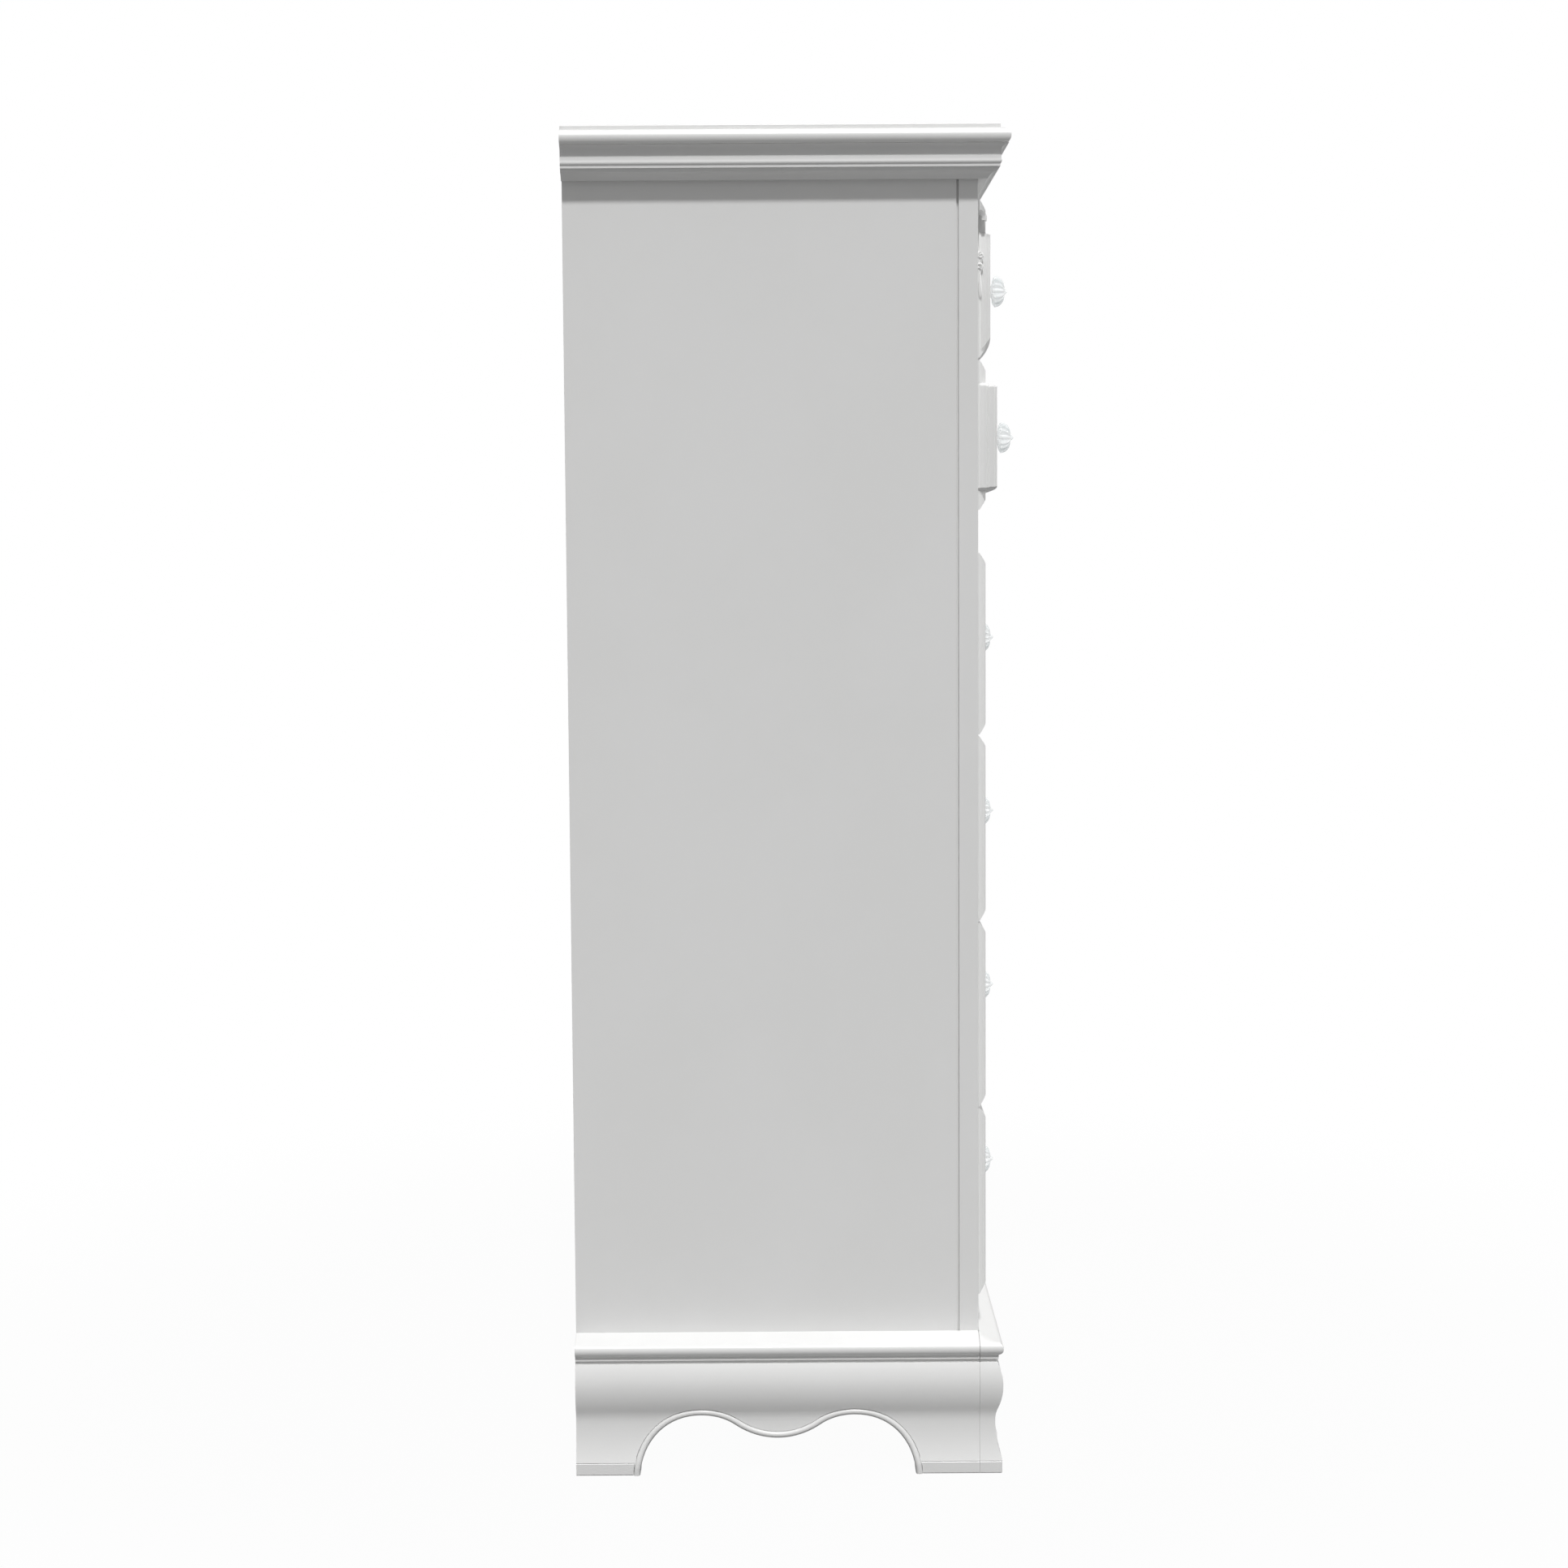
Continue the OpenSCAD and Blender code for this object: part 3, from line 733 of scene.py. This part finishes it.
# -------------------------------------------------------------------- boards

def board(low, high, width):
    """A board between two corners, with eased edges."""
    bm = bmesh.new()
    bmesh.ops.create_cube(bm, size=1.0)
    bmesh.ops.scale(bm, verts=bm.verts, vec=high - low)
    bmesh.ops.translate(bm, verts=bm.verts, vec=(low + high) / 2)
    if width:
        ease(bm, width)
    return bm


# Edge moulding of a plain drawer front: (inset, rise) from its outer edge, in millimetres.
# It is a wide chamfer, broken by three fine beads.
LIP_EDGE = [(0.5, 0.9), (1.5, 1.2), (0.4, 0.05), (0.3, 0.55), (0.4, 0.3), (1.9, 1.35),
            (0.4, 0.05), (0.3, 0.6), (0.5, 0.3), (2.2, 1.5), (0.5, 0.05), (0.3, 0.5),
            (0.7, 0.35), (1.1, 0.25), (1.3, 0.08)]
LIP_START = 1.4
LIP_OVERLAP = Vector((21.5 * MM, 0, 10.5 * MM))   # from the lip's edge to the board behind it

# Edge moulding of an overlay: a fillet, a cove, a bead, a second cove and a rounded rim.
OVERLAY_EDGE = [(1.5, 0.1), (0.05, 0.9), (0.1, 1.2), (0.15, 1.2), (0.3, 1.1), (0.7, 0.4),
                (-0.1, 0.9), (0.9, 0.3), (0.8, 0.1), (0.05, 0.9), (0.1, 1.2), (0.2, 1.1),
                (0.4, 0.9), (0.7, 0.3), (0.1, 0.8), (0.3, 0.5), (0.5, 0.15)]


def moulded_slab(outline, back, wall, steps, face, narrow=1.0):
    """A slab with a stepped edge moulding: an outline in X and Z, raised by insets."""
    bm = bmesh.new()
    prism(bm, [Vector((x, back, z)) for x, z in outline], AHEAD * wall)
    bmesh.ops.recalc_face_normals(bm, faces=bm.faces)
    front = min(bm.faces, key=lambda f: f.calc_center_median().y)
    scale = (face - wall) / (sum(rise for _, rise in steps) * MM)
    for inset, rise in steps:
        bmesh.ops.inset_region(bm, faces=[front], thickness=inset * MM * narrow,
                               depth=rise * MM * scale, use_even_offset=True)
    return bm


def lip_front(n):
    """A drawer front: the moulded lip, and the inset board behind it."""
    low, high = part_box(f"drawer_{n}_front")
    outline = [(low.x, low.z), (high.x, low.z), (high.x, high.z), (low.x, high.z)]
    bm = moulded_slab(outline, FRONT_Y - CLEAR, LIP_START * MM, LIP_EDGE, LIP_OUT - CLEAR)
    join(bm, board(Vector((low.x, FRONT_Y - CLEAR, low.z)) + LIP_OVERLAP,
                   Vector((high.x, high.y, high.z)) - LIP_OVERLAP, BOARD_EDGE))
    return bm


# --------------------------------------------------------------------- knobs

# Profiles of a knob's metal collar and of its bolt's head: (radius, distance) in millimetres.
COLLAR = [(0, 0), (7.5, 0), (7.5, 0.6), (6.6, 1.3), (4.2, 1.8), (3.6, 2.6), (5.0, 3.4), (0, 3.5)]
BOLT_HEAD = [(0, 0), (4, 0), (4, 1.4), (3.4, 2.0), (2.0, 2.0)]


def fluted_head(sizes, place):
    """A clear head with a flared back, rounded flutes, and a small button at its tip."""
    radius = in_mm(sizes.knob_diameter) / 2
    rim, depth = 5.2, 15.5
    plain, fade, bite = 4.5, 5, 0.28   # where the flutes start, come to full depth, and that depth
    profile = [(0, 0), (3.0, 0), (5.2, 0.4), (8.4, 1.9), (11.6, 2.3), (13.9, 2.7)]
    for i in range(14):
        a = math.radians(-38 + 128 * i / 14)
        across = max(math.cos(a), 0) ** 0.75
        along = rim + (depth - rim) * math.sin(a) if a > 0 else rim + 3.4 * math.sin(a)
        profile.append((radius * across, along))
    profile += [(3.0, depth), (2.9, depth + 0.6), (1.9, depth + 1.6), (1.1, depth + 2.6),
                (0, depth + 3.0)]
    bm = spun(profile, sizes.knob_lobes * 8)
    for vert in bm.verts:
        r = math.hypot(vert.co.x, vert.co.y)
        if r < plain * MM:
            continue
        turn = math.atan2(vert.co.y, vert.co.x)
        lobe = abs(math.cos(turn * sizes.knob_lobes / 2)) ** 0.6
        keep = 1 - bite * min(1.0, (r / MM - plain) / fade) * (1 - lobe)
        vert.co.x *= keep
        vert.co.y *= keep
    return set_in_place(bm, 90, "X", place)


def spun(profile, steps):
    """A turned piece about +Z: (radius, distance) in millimetres."""
    bm = bmesh.new()
    verts = [bm.verts.new((r * MM, 0, d * MM)) for r, d in profile]
    edges = [bm.edges.new(pair) for pair in zip(verts, verts[1:])]
    bmesh.ops.spin(bm, geom=verts + edges, cent=(0, 0, 0), axis=(0, 0, 1), angle=math.tau,
                   steps=steps, use_merge=True)
    bmesh.ops.remove_doubles(bm, verts=bm.verts, dist=MERGE)
    return bm


def set_in_place(bm, degrees, axis, place):
    """Turns a piece about an axis through the origin, then moves it to its place."""
    turn = Matrix.Rotation(math.radians(degrees), 4, axis)
    bmesh.ops.transform(bm, matrix=turn, verts=bm.verts)
    bmesh.ops.translate(bm, verts=bm.verts, vec=place)
    return bm


def turned(profile, place, start, steps=40, degrees=90):
    """A turned piece that points out of the front, or out of the back at -90 degrees."""
    return set_in_place(spun(profile, steps), degrees, "X", Vector((place.x, start, place.z)))


def knob_places(n):
    """The two knobs' places, from the frame: the middle of each, and its back and tip."""
    low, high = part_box(f"drawer_{n}_knobs")
    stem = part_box(f"drawer_{n}_knob_stems")
    radius = (high.z - low.z) / 2
    z = (low.z + high.z) / 2
    return [Vector((x, high.y, z)) for x in (low.x + radius, high.x - radius)], stem


# ------------------------------------------------------------------ overlays

# The overlays of the two top rows, in millimetres: their clipped corners, the lean of their
# ends, how far their face and back stand out from the posts, the width of their edge moulding
# as a share of its full width, and how high the slanted foot rises towards the face.
OVERLAYS = {1: {"clip": 2.5, "lean": 5, "out": 13, "start": 2.0, "narrow": 0.4, "slant": 15},
            2: {"clip": 3.5, "lean": 1.5, "out": 19.5, "start": 0.7, "narrow": 0.7, "slant": 0}}
OVERLAY_WALL = 2.4 * MM   # the plain edge under the moulding
BOW_BLEND = 6 * MM        # thickness over which an overlay's bend grows from its flat back
SLICES = 40               # strips that an overlay is cut into, so that it can bend


def bowed(bm, flat, bow, half):
    """Bends a piece forwards in the middle, and its back face stays where it is."""
    for vert in bm.verts:
        forward = flat - vert.co.y
        if forward > 0:
            share = min(1.0, forward / BOW_BLEND)
            vert.co.y -= bow * (1 - (vert.co.x / half) ** 2) * share


def sliced(bm, half, count):
    """Cuts a piece into strips across its width, so that it can bend."""
    for i in range(1, count):
        x = -half + 2 * half * i / count
        bmesh.ops.bisect_plane(bm, geom=everything(bm), plane_co=(x, 0, 0),
                               plane_no=(1, 0, 0), dist=1e-7)


# ----------------------------------------------------------------- operators

class PieceOperator:
    """What every piece's operator shares."""

    bl_options = {"REGISTER", "UNDO"}

    def execute(self, context):
        self.build(context.scene.chest_sizes)
        return {"FINISHED"}


class CHEST_OT_materials(bpy.types.Operator):
    """Makes the finishes and gives the frame's own pieces theirs"""

    bl_idname = "chest.materials"
    bl_label = "Finishes"

    def execute(self, context):
        finish = context.scene.chest_finish
        sprayed_coat_group()
        wood_grain_group()
        rubbed_edges_group()
        make_paint(finish)
        make_wood("softwood", finish.wood, finish.wood_dark, (0, 0, 0), True)
        make_wood("plywood", finish.board, finish.board_dark, (0, 0, math.pi / 2))
        make_wood("plywood_upright", finish.board, finish.board_dark, (math.pi / 2, 0, 0))
        make_zinc()
        make_bright_metal()
        make_crystal()
        for part in frame["record"]["subparts"]:
            mesh = frame["nodes"][part["node"]].data
            mesh.materials.clear()
            mesh.materials.append(finish_of(part["material_slot"], part["node"]))
        return {"FINISHED"}


# Profiles of the back's countersinks and screws: (radius, distance out of the back).
SINK = [(0, -2.6), (2.0, -2.6), (4.6, 0.1), (0, 0.1)]
SCREW = [(0, -25), (1.2, -24), (2, -22), (2, -2.5), (4.2, -0.5), (3.4, -0.35), (0, -0.25)]
SCREW_RADIUS = 2 * MM


class CHEST_OT_case(PieceOperator, bpy.types.Operator):
    """Builds the side panels, posts and rails, and the back with its screws"""

    bl_idname = "chest.case"
    bl_label = "Case"

    def build(self, sizes):
        back_low, back_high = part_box("back_panel")
        low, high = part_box("side_panel_right")
        groove_x = high.x - sizes.groove_depth
        plan = [(high.x, high.y), (back_high.x, high.y), (back_high.x, back_low.y),
                (low.x, back_low.y), (low.x, low.y), (groove_x, low.y),
                (groove_x, low.y + sizes.groove_width), (high.x, low.y + sizes.groove_width)]
        right = bmesh.new()
        prism(right, [Vector((x, y, low.z)) for x, y in plan], UP * (high.z - low.z))
        ease(right, sizes.eased_edge * 0.6)
        left = mirrored(right)
        painted("side_panel_right_board", right, "cabinet", "side_panel_right")
        painted("side_panel_left_board", left, "cabinet", "side_panel_left")
        low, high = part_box("front_posts")
        right = board(Vector((high.x - POST_WIDTH, low.y, low.z)), high, sizes.eased_edge)
        join(right, mirrored(right))
        painted("front_posts_pair", right, "cabinet", "front_posts")
        for node in ("top_rail", "middle_rail", "bottom_rail"):
            painted(f"{node}_board", board(*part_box(node), FINE_EDGE), "cabinet", node)
        self.back(back_low, back_high)

    def back(self, low, high):
        """The back panel, countersunk for its screws, and the screws in it."""
        first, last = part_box("back_screws")
        radius = SCREW_RADIUS
        sinks = bmesh.new()
        screws = bmesh.new()
        slots = bmesh.new()
        for x in (first.x + radius, last.x - radius):
            for i in range(SCREW_ROWS):
                z = first.z + radius + (last.z - first.z - 2 * radius) * i / (SCREW_ROWS - 1)
                place = Vector((x, 0, z))
                for target, profile in ((sinks, SINK), (screws, SCREW)):
                    join(target, turned(profile, place, high.y, 24, -90))
                for width, height in ((0.9, 4.6), (4.6, 0.9)):
                    size = Vector((width, 1.6, height)) * MM / 2
                    middle = Vector((x, high.y - 0.5 * MM, z))
                    join(slots, board(middle - size, middle + size, 0))
        panel = carved(board(low, high, FINE_EDGE), sinks)
        finished("back_panel_sheet", panel, "cabinet", "panel_board", "back_panel")
        finished("back_screws_crossheads", carved(screws, slots), "cabinet", "zinc_steel",
                 "back_screws")


SCREW_HEAD = [(0, 0), (3.4, 0), (2.6, 0.9), (0, 1.2)]
WEB = 0.55            # place of a slide's flat web, as a share of its thickness


def slide_section(thick, half):
    """A bar with a flat web and rolled edges: (distance across, height) in millimetres."""
    upper = [(WEB * thick, half - 13), (1.2, half - 10), (1.2, half - 8.6),
             (thick - 1, half - 8), (thick, half - 7), (thick, half - 1.2),
             (thick - 1.2, half), (0, half)]
    return [(x, -z) for x, z in reversed(upper)] + upper


class CHEST_OT_slides(PieceOperator, bpy.types.Operator):
    """Builds the moving members of the slides, with rolled edges and screws"""

    bl_idname = "chest.slides"
    bl_label = "Slides"

    def build(self, sizes):
        for n in ROWS:
            node = f"drawer_{n}_runners"
            low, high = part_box(node)
            thick = in_mm(sizes.slide_thickness)
            section = slide_section(thick, in_mm(high.z - low.z) / 2)
            base = Vector((high.x - thick * MM, low.y, (low.z + high.z) / 2))
            slide = bmesh.new()
            prism(slide, [base + Vector((x * MM, 0, z * MM)) for x, z in section],
                  Vector((0, high.y - low.y, 0)))
            ease(slide, 0.4 * MM)
            for share in SLIDE_SCREWS:
                y = low.y + (high.y - low.y) * share
                place = base + Vector((thick * WEB * MM, y - low.y, 0))
                join(slide, set_in_place(spun(SCREW_HEAD, 20), 90, "Y", place))
            join(slide, mirrored(slide))
            finished(f"{node}_rolled", slide, f"drawer_{n}", "zinc_steel", node)


class CHEST_OT_cornice(PieceOperator, bpy.types.Operator):
    """Builds the top board and the cornice under it"""

    bl_idname = "chest.cornice"
    bl_label = "Top and cornice"

    def build(self, sizes):
        section = [(0, in_mm(CASE_TOP))] + top_section(sizes) + [(0, in_mm(TOP_Z))]
        front = front_run(section)
        left = side_run(section)
        right = mirrored(left)
        core = board(Vector((-SIDE_X, FRONT_Y, CASE_TOP)), Vector((SIDE_X, BACK_Y, TOP_Z)), 0)
        join(front, left, right, core)
        bmesh.ops.remove_doubles(front, verts=front.verts, dist=MERGE)
        inner = [f for f in front.faces if is_buried(f)]
        bmesh.ops.delete(front, geom=inner, context="FACES")
        painted("top_board_moulded", front, "cabinet", "top_board")
        moulded_runs(cornice_section(sizes), sizes, "cornice", "cornice")


def is_buried(face):
    """True for a face of the top board that lies between its core and its edges."""
    middle = face.calc_center_median()
    normal = face.normal
    on_side = abs(abs(middle.x) - SIDE_X) < 1e-5 and abs(normal.x) > 0.9
    on_front = abs(middle.y - FRONT_Y) < 1e-5 and abs(normal.y) > 0.9
    return on_side or on_front


class CHEST_OT_base(PieceOperator, bpy.types.Operator):
    """Builds the base moulding, the scalloped plinth and its beads"""

    bl_idname = "chest.base"
    bl_label = "Base and plinth"

    def build(self, sizes):
        moulded_runs(base_section(), sizes, "base", "base_moulding")
        grow = in_mm(sizes.bead_width)
        aprons = []
        for is_front, make in ((True, front_run), (False, side_run)):
            apron = carved(make(plinth_section()), cutter(sizes, is_front, grow))
            ease_ends(apron, sizes.joint_edge)
            ease(apron, BOARD_EDGE, 2, 50)
            aprons.append(apron)
        aprons.append(mirrored(aprons[1]))
        for node, apron in zip(("front_apron", "side_apron_left", "side_apron_right"), aprons):
            painted(f"{node}_scalloped", apron, "cabinet", node)

        recess, lap = 2.6, 0.7   # how far the strips lie back, and reach up behind the plinth
        strips = []
        for is_front, make in ((True, front_run), (False, side_run)):
            strip = carved(make(plinth_section(recess)), cutter(sizes, is_front, grow - lap),
                           "INTERSECT")
            strip = carved(strip, cutter(sizes, is_front, 0.0))
            join(strip, edge_bead(sizes, is_front))
            strips.append(strip)
        strips.append(mirrored(strips[1]))
        names = ("apron_bead_front", "apron_bead_left", "apron_bead_right")
        for name, strip in zip(names, strips):
            painted(name, strip, "cabinet", "apron_beads")


def hollow_of(side):
    """The scooped hollow in an end of the top drawer's lip, under its curl."""
    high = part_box("drawer_1_front")[1]
    bm = bmesh.new()
    bmesh.ops.create_uvsphere(bm, u_segments=32, v_segments=20, radius=1.0)
    half_size = (11 * MM, 6.2 * MM, 22 * MM)
    bmesh.ops.scale(bm, verts=bm.verts, vec=half_size)
    place = (side * high.x, FRONT_Y - 4.4 * MM, high.z - 33 * MM)
    bmesh.ops.translate(bm, verts=bm.verts, vec=place)
    return bm


class CHEST_OT_fronts(PieceOperator, bpy.types.Operator):
    """Builds the six moulded drawer fronts"""

    bl_idname = "chest.fronts"
    bl_label = "Drawer fronts"

    def build(self, sizes):
        for n in ROWS:
            node = f"drawer_{n}_front"
            front = lip_front(n)
            if n == 1:
                for side in (-1, 1):
                    front = carved(front, hollow_of(side))
            painted(f"{node}_moulded", front, f"drawer_{n}", node)


def overlay_outline(low, high, clip, lean):
    """The outline of an overlay, in X and Z: clipped corners, and ends that lean in above."""
    half = (high.x - low.x) / 2
    middle = low.z + 0.42 * (high.z - low.z)
    ends = []
    steps = 10
    for i in range(steps + 1):
        z = middle + (high.z - clip - middle) * i / steps
        ends.append((half - lean * (i / steps) ** 2, z))
    right = [(half - clip, low.z), (half, low.z + clip)] + ends
    right.append((ends[-1][0] - clip, high.z))
    return right + [(-x, z) for x, z in reversed(right)]


class CHEST_OT_overlays(PieceOperator, bpy.types.Operator):
    """Builds the bowed overlays of the two top drawers"""

    bl_idname = "chest.overlays"
    bl_label = "Overlays"

    def build(self, sizes):
        for n, shape in OVERLAYS.items():
            self.overlay(n, sizes.bow, **shape)

    def overlay(self, n, bow, clip, lean, out, start, narrow, slant):
        node = f"drawer_{n}_overlay"
        low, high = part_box(node)
        half = (high.x - low.x) / 2
        outline = overlay_outline(low, high, clip * MM, lean * MM)
        back = FRONT_Y - start * MM
        bm = moulded_slab(outline, back, OVERLAY_WALL, OVERLAY_EDGE, (out - start) * MM, narrow)
        if slant:
            keep_side(bm, Vector((0, back, low.z)), Vector((0, -slant, start - out)), fill=True)
        sliced(bm, half, SLICES)
        bowed(bm, back, bow, half)
        painted(f"{node}_moulded", bm, f"drawer_{n}", node)


# The carvings at each end of the top drawer, in millimetres below the top of its lip: the
# curl's middle, the leaf's tip and foot, and each scroll with its distance out, its place,
# its radius, the angle that it starts at and the radius of its bead.
CURL_DOWN = 19
LEAF_DOWN = (72, 98)
SCROLLS = ((3.6, 55, 3.2, 100, 1.1), (1.8, 66, 3.4, -60, 1.2))
SCROLL_TURNS = 1.2


def scroll(x, centre_out, centre_z, radius, start, thickness):
    """A little scroll: a bead that winds inwards."""
    steps = int(SCROLL_TURNS * 20)
    points = []
    for i in range(steps + 1):
        a = math.radians(start) + math.tau * SCROLL_TURNS * i / steps
        r = radius * (1 - 0.75 * i / steps)
        points.append((x, FRONT_Y - (centre_out + r * math.cos(a)) * MM,
                       (centre_z + r * math.sin(a)) * MM))
    return tube(points, thickness * MM)


class CHEST_OT_carvings(PieceOperator, bpy.types.Operator):
    """Builds the curl, the scrolls and the leaf at the ends of the top drawer"""

    bl_idname = "chest.carvings"
    bl_label = "Carvings"

    def build(self, sizes):
        low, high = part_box("drawer_1_front")
        x = low.x + 0.2 * MM
        top = in_mm(high.z)
        bend = arc(0.6, top - CURL_DOWN, 6.2, 80, -20, 12)
        curl = [(x, FRONT_Y - out * MM, z * MM) for out, z in [(0.4, top - 11)] + bend]
        bm = tube(curl, 2.8 * MM)
        for out, down, radius, start, thickness in SCROLLS:
            join(bm, scroll(x, out, top - down, radius, start, thickness))
        join(bm, leaf(x, *(top - down for down in LEAF_DOWN)))
        keep_side(bm, Vector((0, FRONT_Y - CLEAR, 0)), Vector((0, 1, 0)), fill=True)
        join(bm, mirrored(bm))
        painted("drawer_1_carvings_carved", bm, "drawer_1", "drawer_1_carvings")


def leaf(x, high, low):
    """A long leaf that widens to its foot, rounded along its middle."""
    bm = bmesh.new()
    bmesh.ops.create_uvsphere(bm, u_segments=24, v_segments=24, radius=1.0)
    for vert in bm.verts:
        share = (1 - vert.co.z) / 2
        widen = 0.35 + 0.9 * share
        vert.co = Vector((x + 2.2 * MM * vert.co.x * widen,
                          FRONT_Y - (2.8 + 2.1 * vert.co.y * widen) * MM,
                          (high + (low - high) * share) * MM))
    return bm


class CHEST_OT_knobs(PieceOperator, bpy.types.Operator):
    """Builds the fluted clear knobs and their metal stems"""

    bl_idname = "chest.knobs"
    bl_label = "Knobs"

    def build(self, sizes):
        for n in ROWS:
            places, stem = knob_places(n)
            heads = bmesh.new()
            stems = bmesh.new()
            seat = places[0].y + COLLAR[-1][1] * MM
            reach = in_mm(stem[1].y - seat)
            for place in places:
                join(heads, fluted_head(sizes, place))
                join(stems, turned(COLLAR, place, seat))
                join(stems, turned(BOLT_HEAD + [(2.0, reach), (0, reach)], place, stem[1].y))
            body = f"drawer_{n}"
            finished(f"{body}_knobs_fluted", heads, body, "clear_crystal",
                     f"{body}_knobs", smooth_below=50)
            finished(f"{body}_knob_stems_turned", stems, body, "bright_metal",
                     f"{body}_knob_stems")


def lamp(scene, name, place, aim, size, power):
    """A round soft light that points at a place."""
    data = bpy.data.lights.new(name, "AREA")
    data.shape = "DISK"
    data.size = size
    data.energy = power
    obj = bpy.data.objects.new(name, data)
    turn = (aim - place).to_track_quat("-Z", "Y").to_matrix().to_4x4()
    obj.matrix_world = Matrix.Translation(place) @ turn
    scene.collection.objects.link(obj)


class CHEST_OT_stage(bpy.types.Operator):
    """Sets the camera, the soft light and the floor"""

    bl_idname = "chest.stage"
    bl_label = "Stage"

    def execute(self, context):
        scene = context.scene
        stage = scene.chest_stage
        scene.view_settings.view_transform = "Standard"
        scene.view_settings.look = "None"
        self.camera(scene, stage)
        self.light(scene, stage)
        self.floor(scene)
        return {"FINISHED"}

    def camera(self, scene, stage):
        pitch, yaw, roll = (math.radians(a) for a in (stage.pitch, stage.yaw, stage.roll))
        ahead = Vector((math.cos(pitch) * math.cos(yaw), -math.cos(pitch) * math.sin(yaw),
                        -math.sin(pitch)))
        across = ahead.cross(UP).normalized()
        upward = across.cross(ahead)
        right = math.cos(roll) * across + math.sin(roll) * upward
        upright = -math.sin(roll) * across + math.cos(roll) * upward
        place = Vector((-SIDE_X - stage.distance, BACK_Y - stage.from_back, stage.height))
        data = bpy.data.cameras.new("camera")
        data.lens = stage.lens
        data.sensor_width = 36.0
        camera = bpy.data.objects.new("camera", data)
        turn = Matrix((right, upright, -ahead)).transposed().to_4x4()
        camera.matrix_world = Matrix.Translation(place) @ turn
        scene.collection.objects.link(camera)
        scene.camera = camera

    def light(self, scene, stage):
        towards = Vector((-1.0, -0.1, 1.5)).normalized()
        data = bpy.data.lights.new("key_light", "SUN")
        data.energy = stage.key_strength
        data.angle = math.radians(5)
        key = bpy.data.objects.new("key_light", data)
        key.matrix_world = (-towards).to_track_quat("-Z", "Y").to_matrix().to_4x4()
        scene.collection.objects.link(key)
        above = Vector((0, 0, TOP_Z + 5))
        lamp(scene, "top_light", above, Vector((0, 0, TOP_Z)), size=3.0, power=stage.top_power)
        ahead = Vector((SIDE_X, -4.5, 2.6))
        lamp(scene, "front_light", ahead, Vector((0, 0, TOP_Z / 2)), size=1.6,
             power=stage.front_power)
        self.surroundings(scene, stage)

    def surroundings(self, scene, stage):
        """White behind the chest, soft light all round, and a darker field for the glass."""
        world = bpy.data.worlds.new("studio")
        world.use_nodes = True
        scene.world = world
        w = Wiring(world.node_tree)
        path = w.node("ShaderNodeLightPath")
        soft = world.node_tree.nodes["Background"]
        soft.inputs["Color"].default_value = (1, 1, 1, 1)
        through = path.outputs["Is Transmission Ray"]
        w.link(w.ramp(through, 0.0, 1.0, stage.sky, 0.02), soft.inputs["Strength"])
        white = w.node("ShaderNodeBackground")
        white.inputs["Color"].default_value = (1, 1, 1, 1)
        white.inputs["Strength"].default_value = 1.0
        pick = w.node("ShaderNodeMixShader")
        direction = w.node("ShaderNodeSeparateXYZ")
        w.link(w.node("ShaderNodeTexCoord").outputs["Generated"], direction.inputs["Vector"])
        across = w.math("ABSOLUTE", direction.outputs["X"])
        field = w.math("MULTIPLY", w.ramp(across, 0.66, 0.84), through)
        w.link(w.math("MAXIMUM", path.outputs["Is Camera Ray"], field), pick.inputs["Fac"])
        w.link(soft.outputs["Background"], pick.inputs[1])
        w.link(white.outputs["Background"], pick.inputs[2])
        w.link(pick.outputs["Shader"], world.node_tree.nodes["World Output"].inputs["Surface"])

    def floor(self, scene):
        make_floor(scene.chest_finish)
        bm = bmesh.new()
        bmesh.ops.create_grid(bm, x_segments=2, y_segments=2, size=14.0)
        floor = as_object(bm, "floor")
        floor.data.materials.append(bpy.data.materials["studio_floor"])


class CHEST_PT_panel(bpy.types.Panel):
    """Lists the chest's pieces and sizes"""

    bl_idname = "CHEST_PT_panel"
    bl_label = "Tall Chest"
    bl_space_type = "VIEW_3D"
    bl_region_type = "UI"
    bl_category = "Chest"

    def draw(self, context):
        layout = self.layout
        for operator in OPERATORS:
            layout.operator(operator.bl_idname)
        for group in (context.scene.chest_sizes, context.scene.chest_finish,
                      context.scene.chest_stage):
            box = layout.box()
            for name in group.__annotations__:
                box.prop(group, name)


GROUPS = {"chest_sizes": ChestSizes, "chest_finish": ChestFinish, "chest_stage": ChestStage}
OPERATORS = (CHEST_OT_stage, CHEST_OT_materials, CHEST_OT_case, CHEST_OT_cornice,
             CHEST_OT_base, CHEST_OT_fronts, CHEST_OT_overlays, CHEST_OT_carvings,
             CHEST_OT_knobs, CHEST_OT_slides)


def register():
    for name, group in GROUPS.items():
        bpy.utils.register_class(group)
        setattr(bpy.types.Scene, name, PointerProperty(type=group))
    for item in (*OPERATORS, CHEST_PT_panel):
        bpy.utils.register_class(item)


def unregister():
    for item in (CHEST_PT_panel, *reversed(OPERATORS)):
        bpy.utils.unregister_class(item)
    for name, group in GROUPS.items():
        delattr(bpy.types.Scene, name)
        bpy.utils.unregister_class(group)


def main():
    register()
    bpy.ops.chest.stage()
    bpy.ops.chest.materials()
    bpy.ops.chest.case()
    bpy.ops.chest.cornice()
    bpy.ops.chest.base()
    bpy.ops.chest.fronts()
    bpy.ops.chest.overlays()
    bpy.ops.chest.carvings()
    bpy.ops.chest.knobs()
    bpy.ops.chest.slides()


if __name__ == "__main__":
    main()
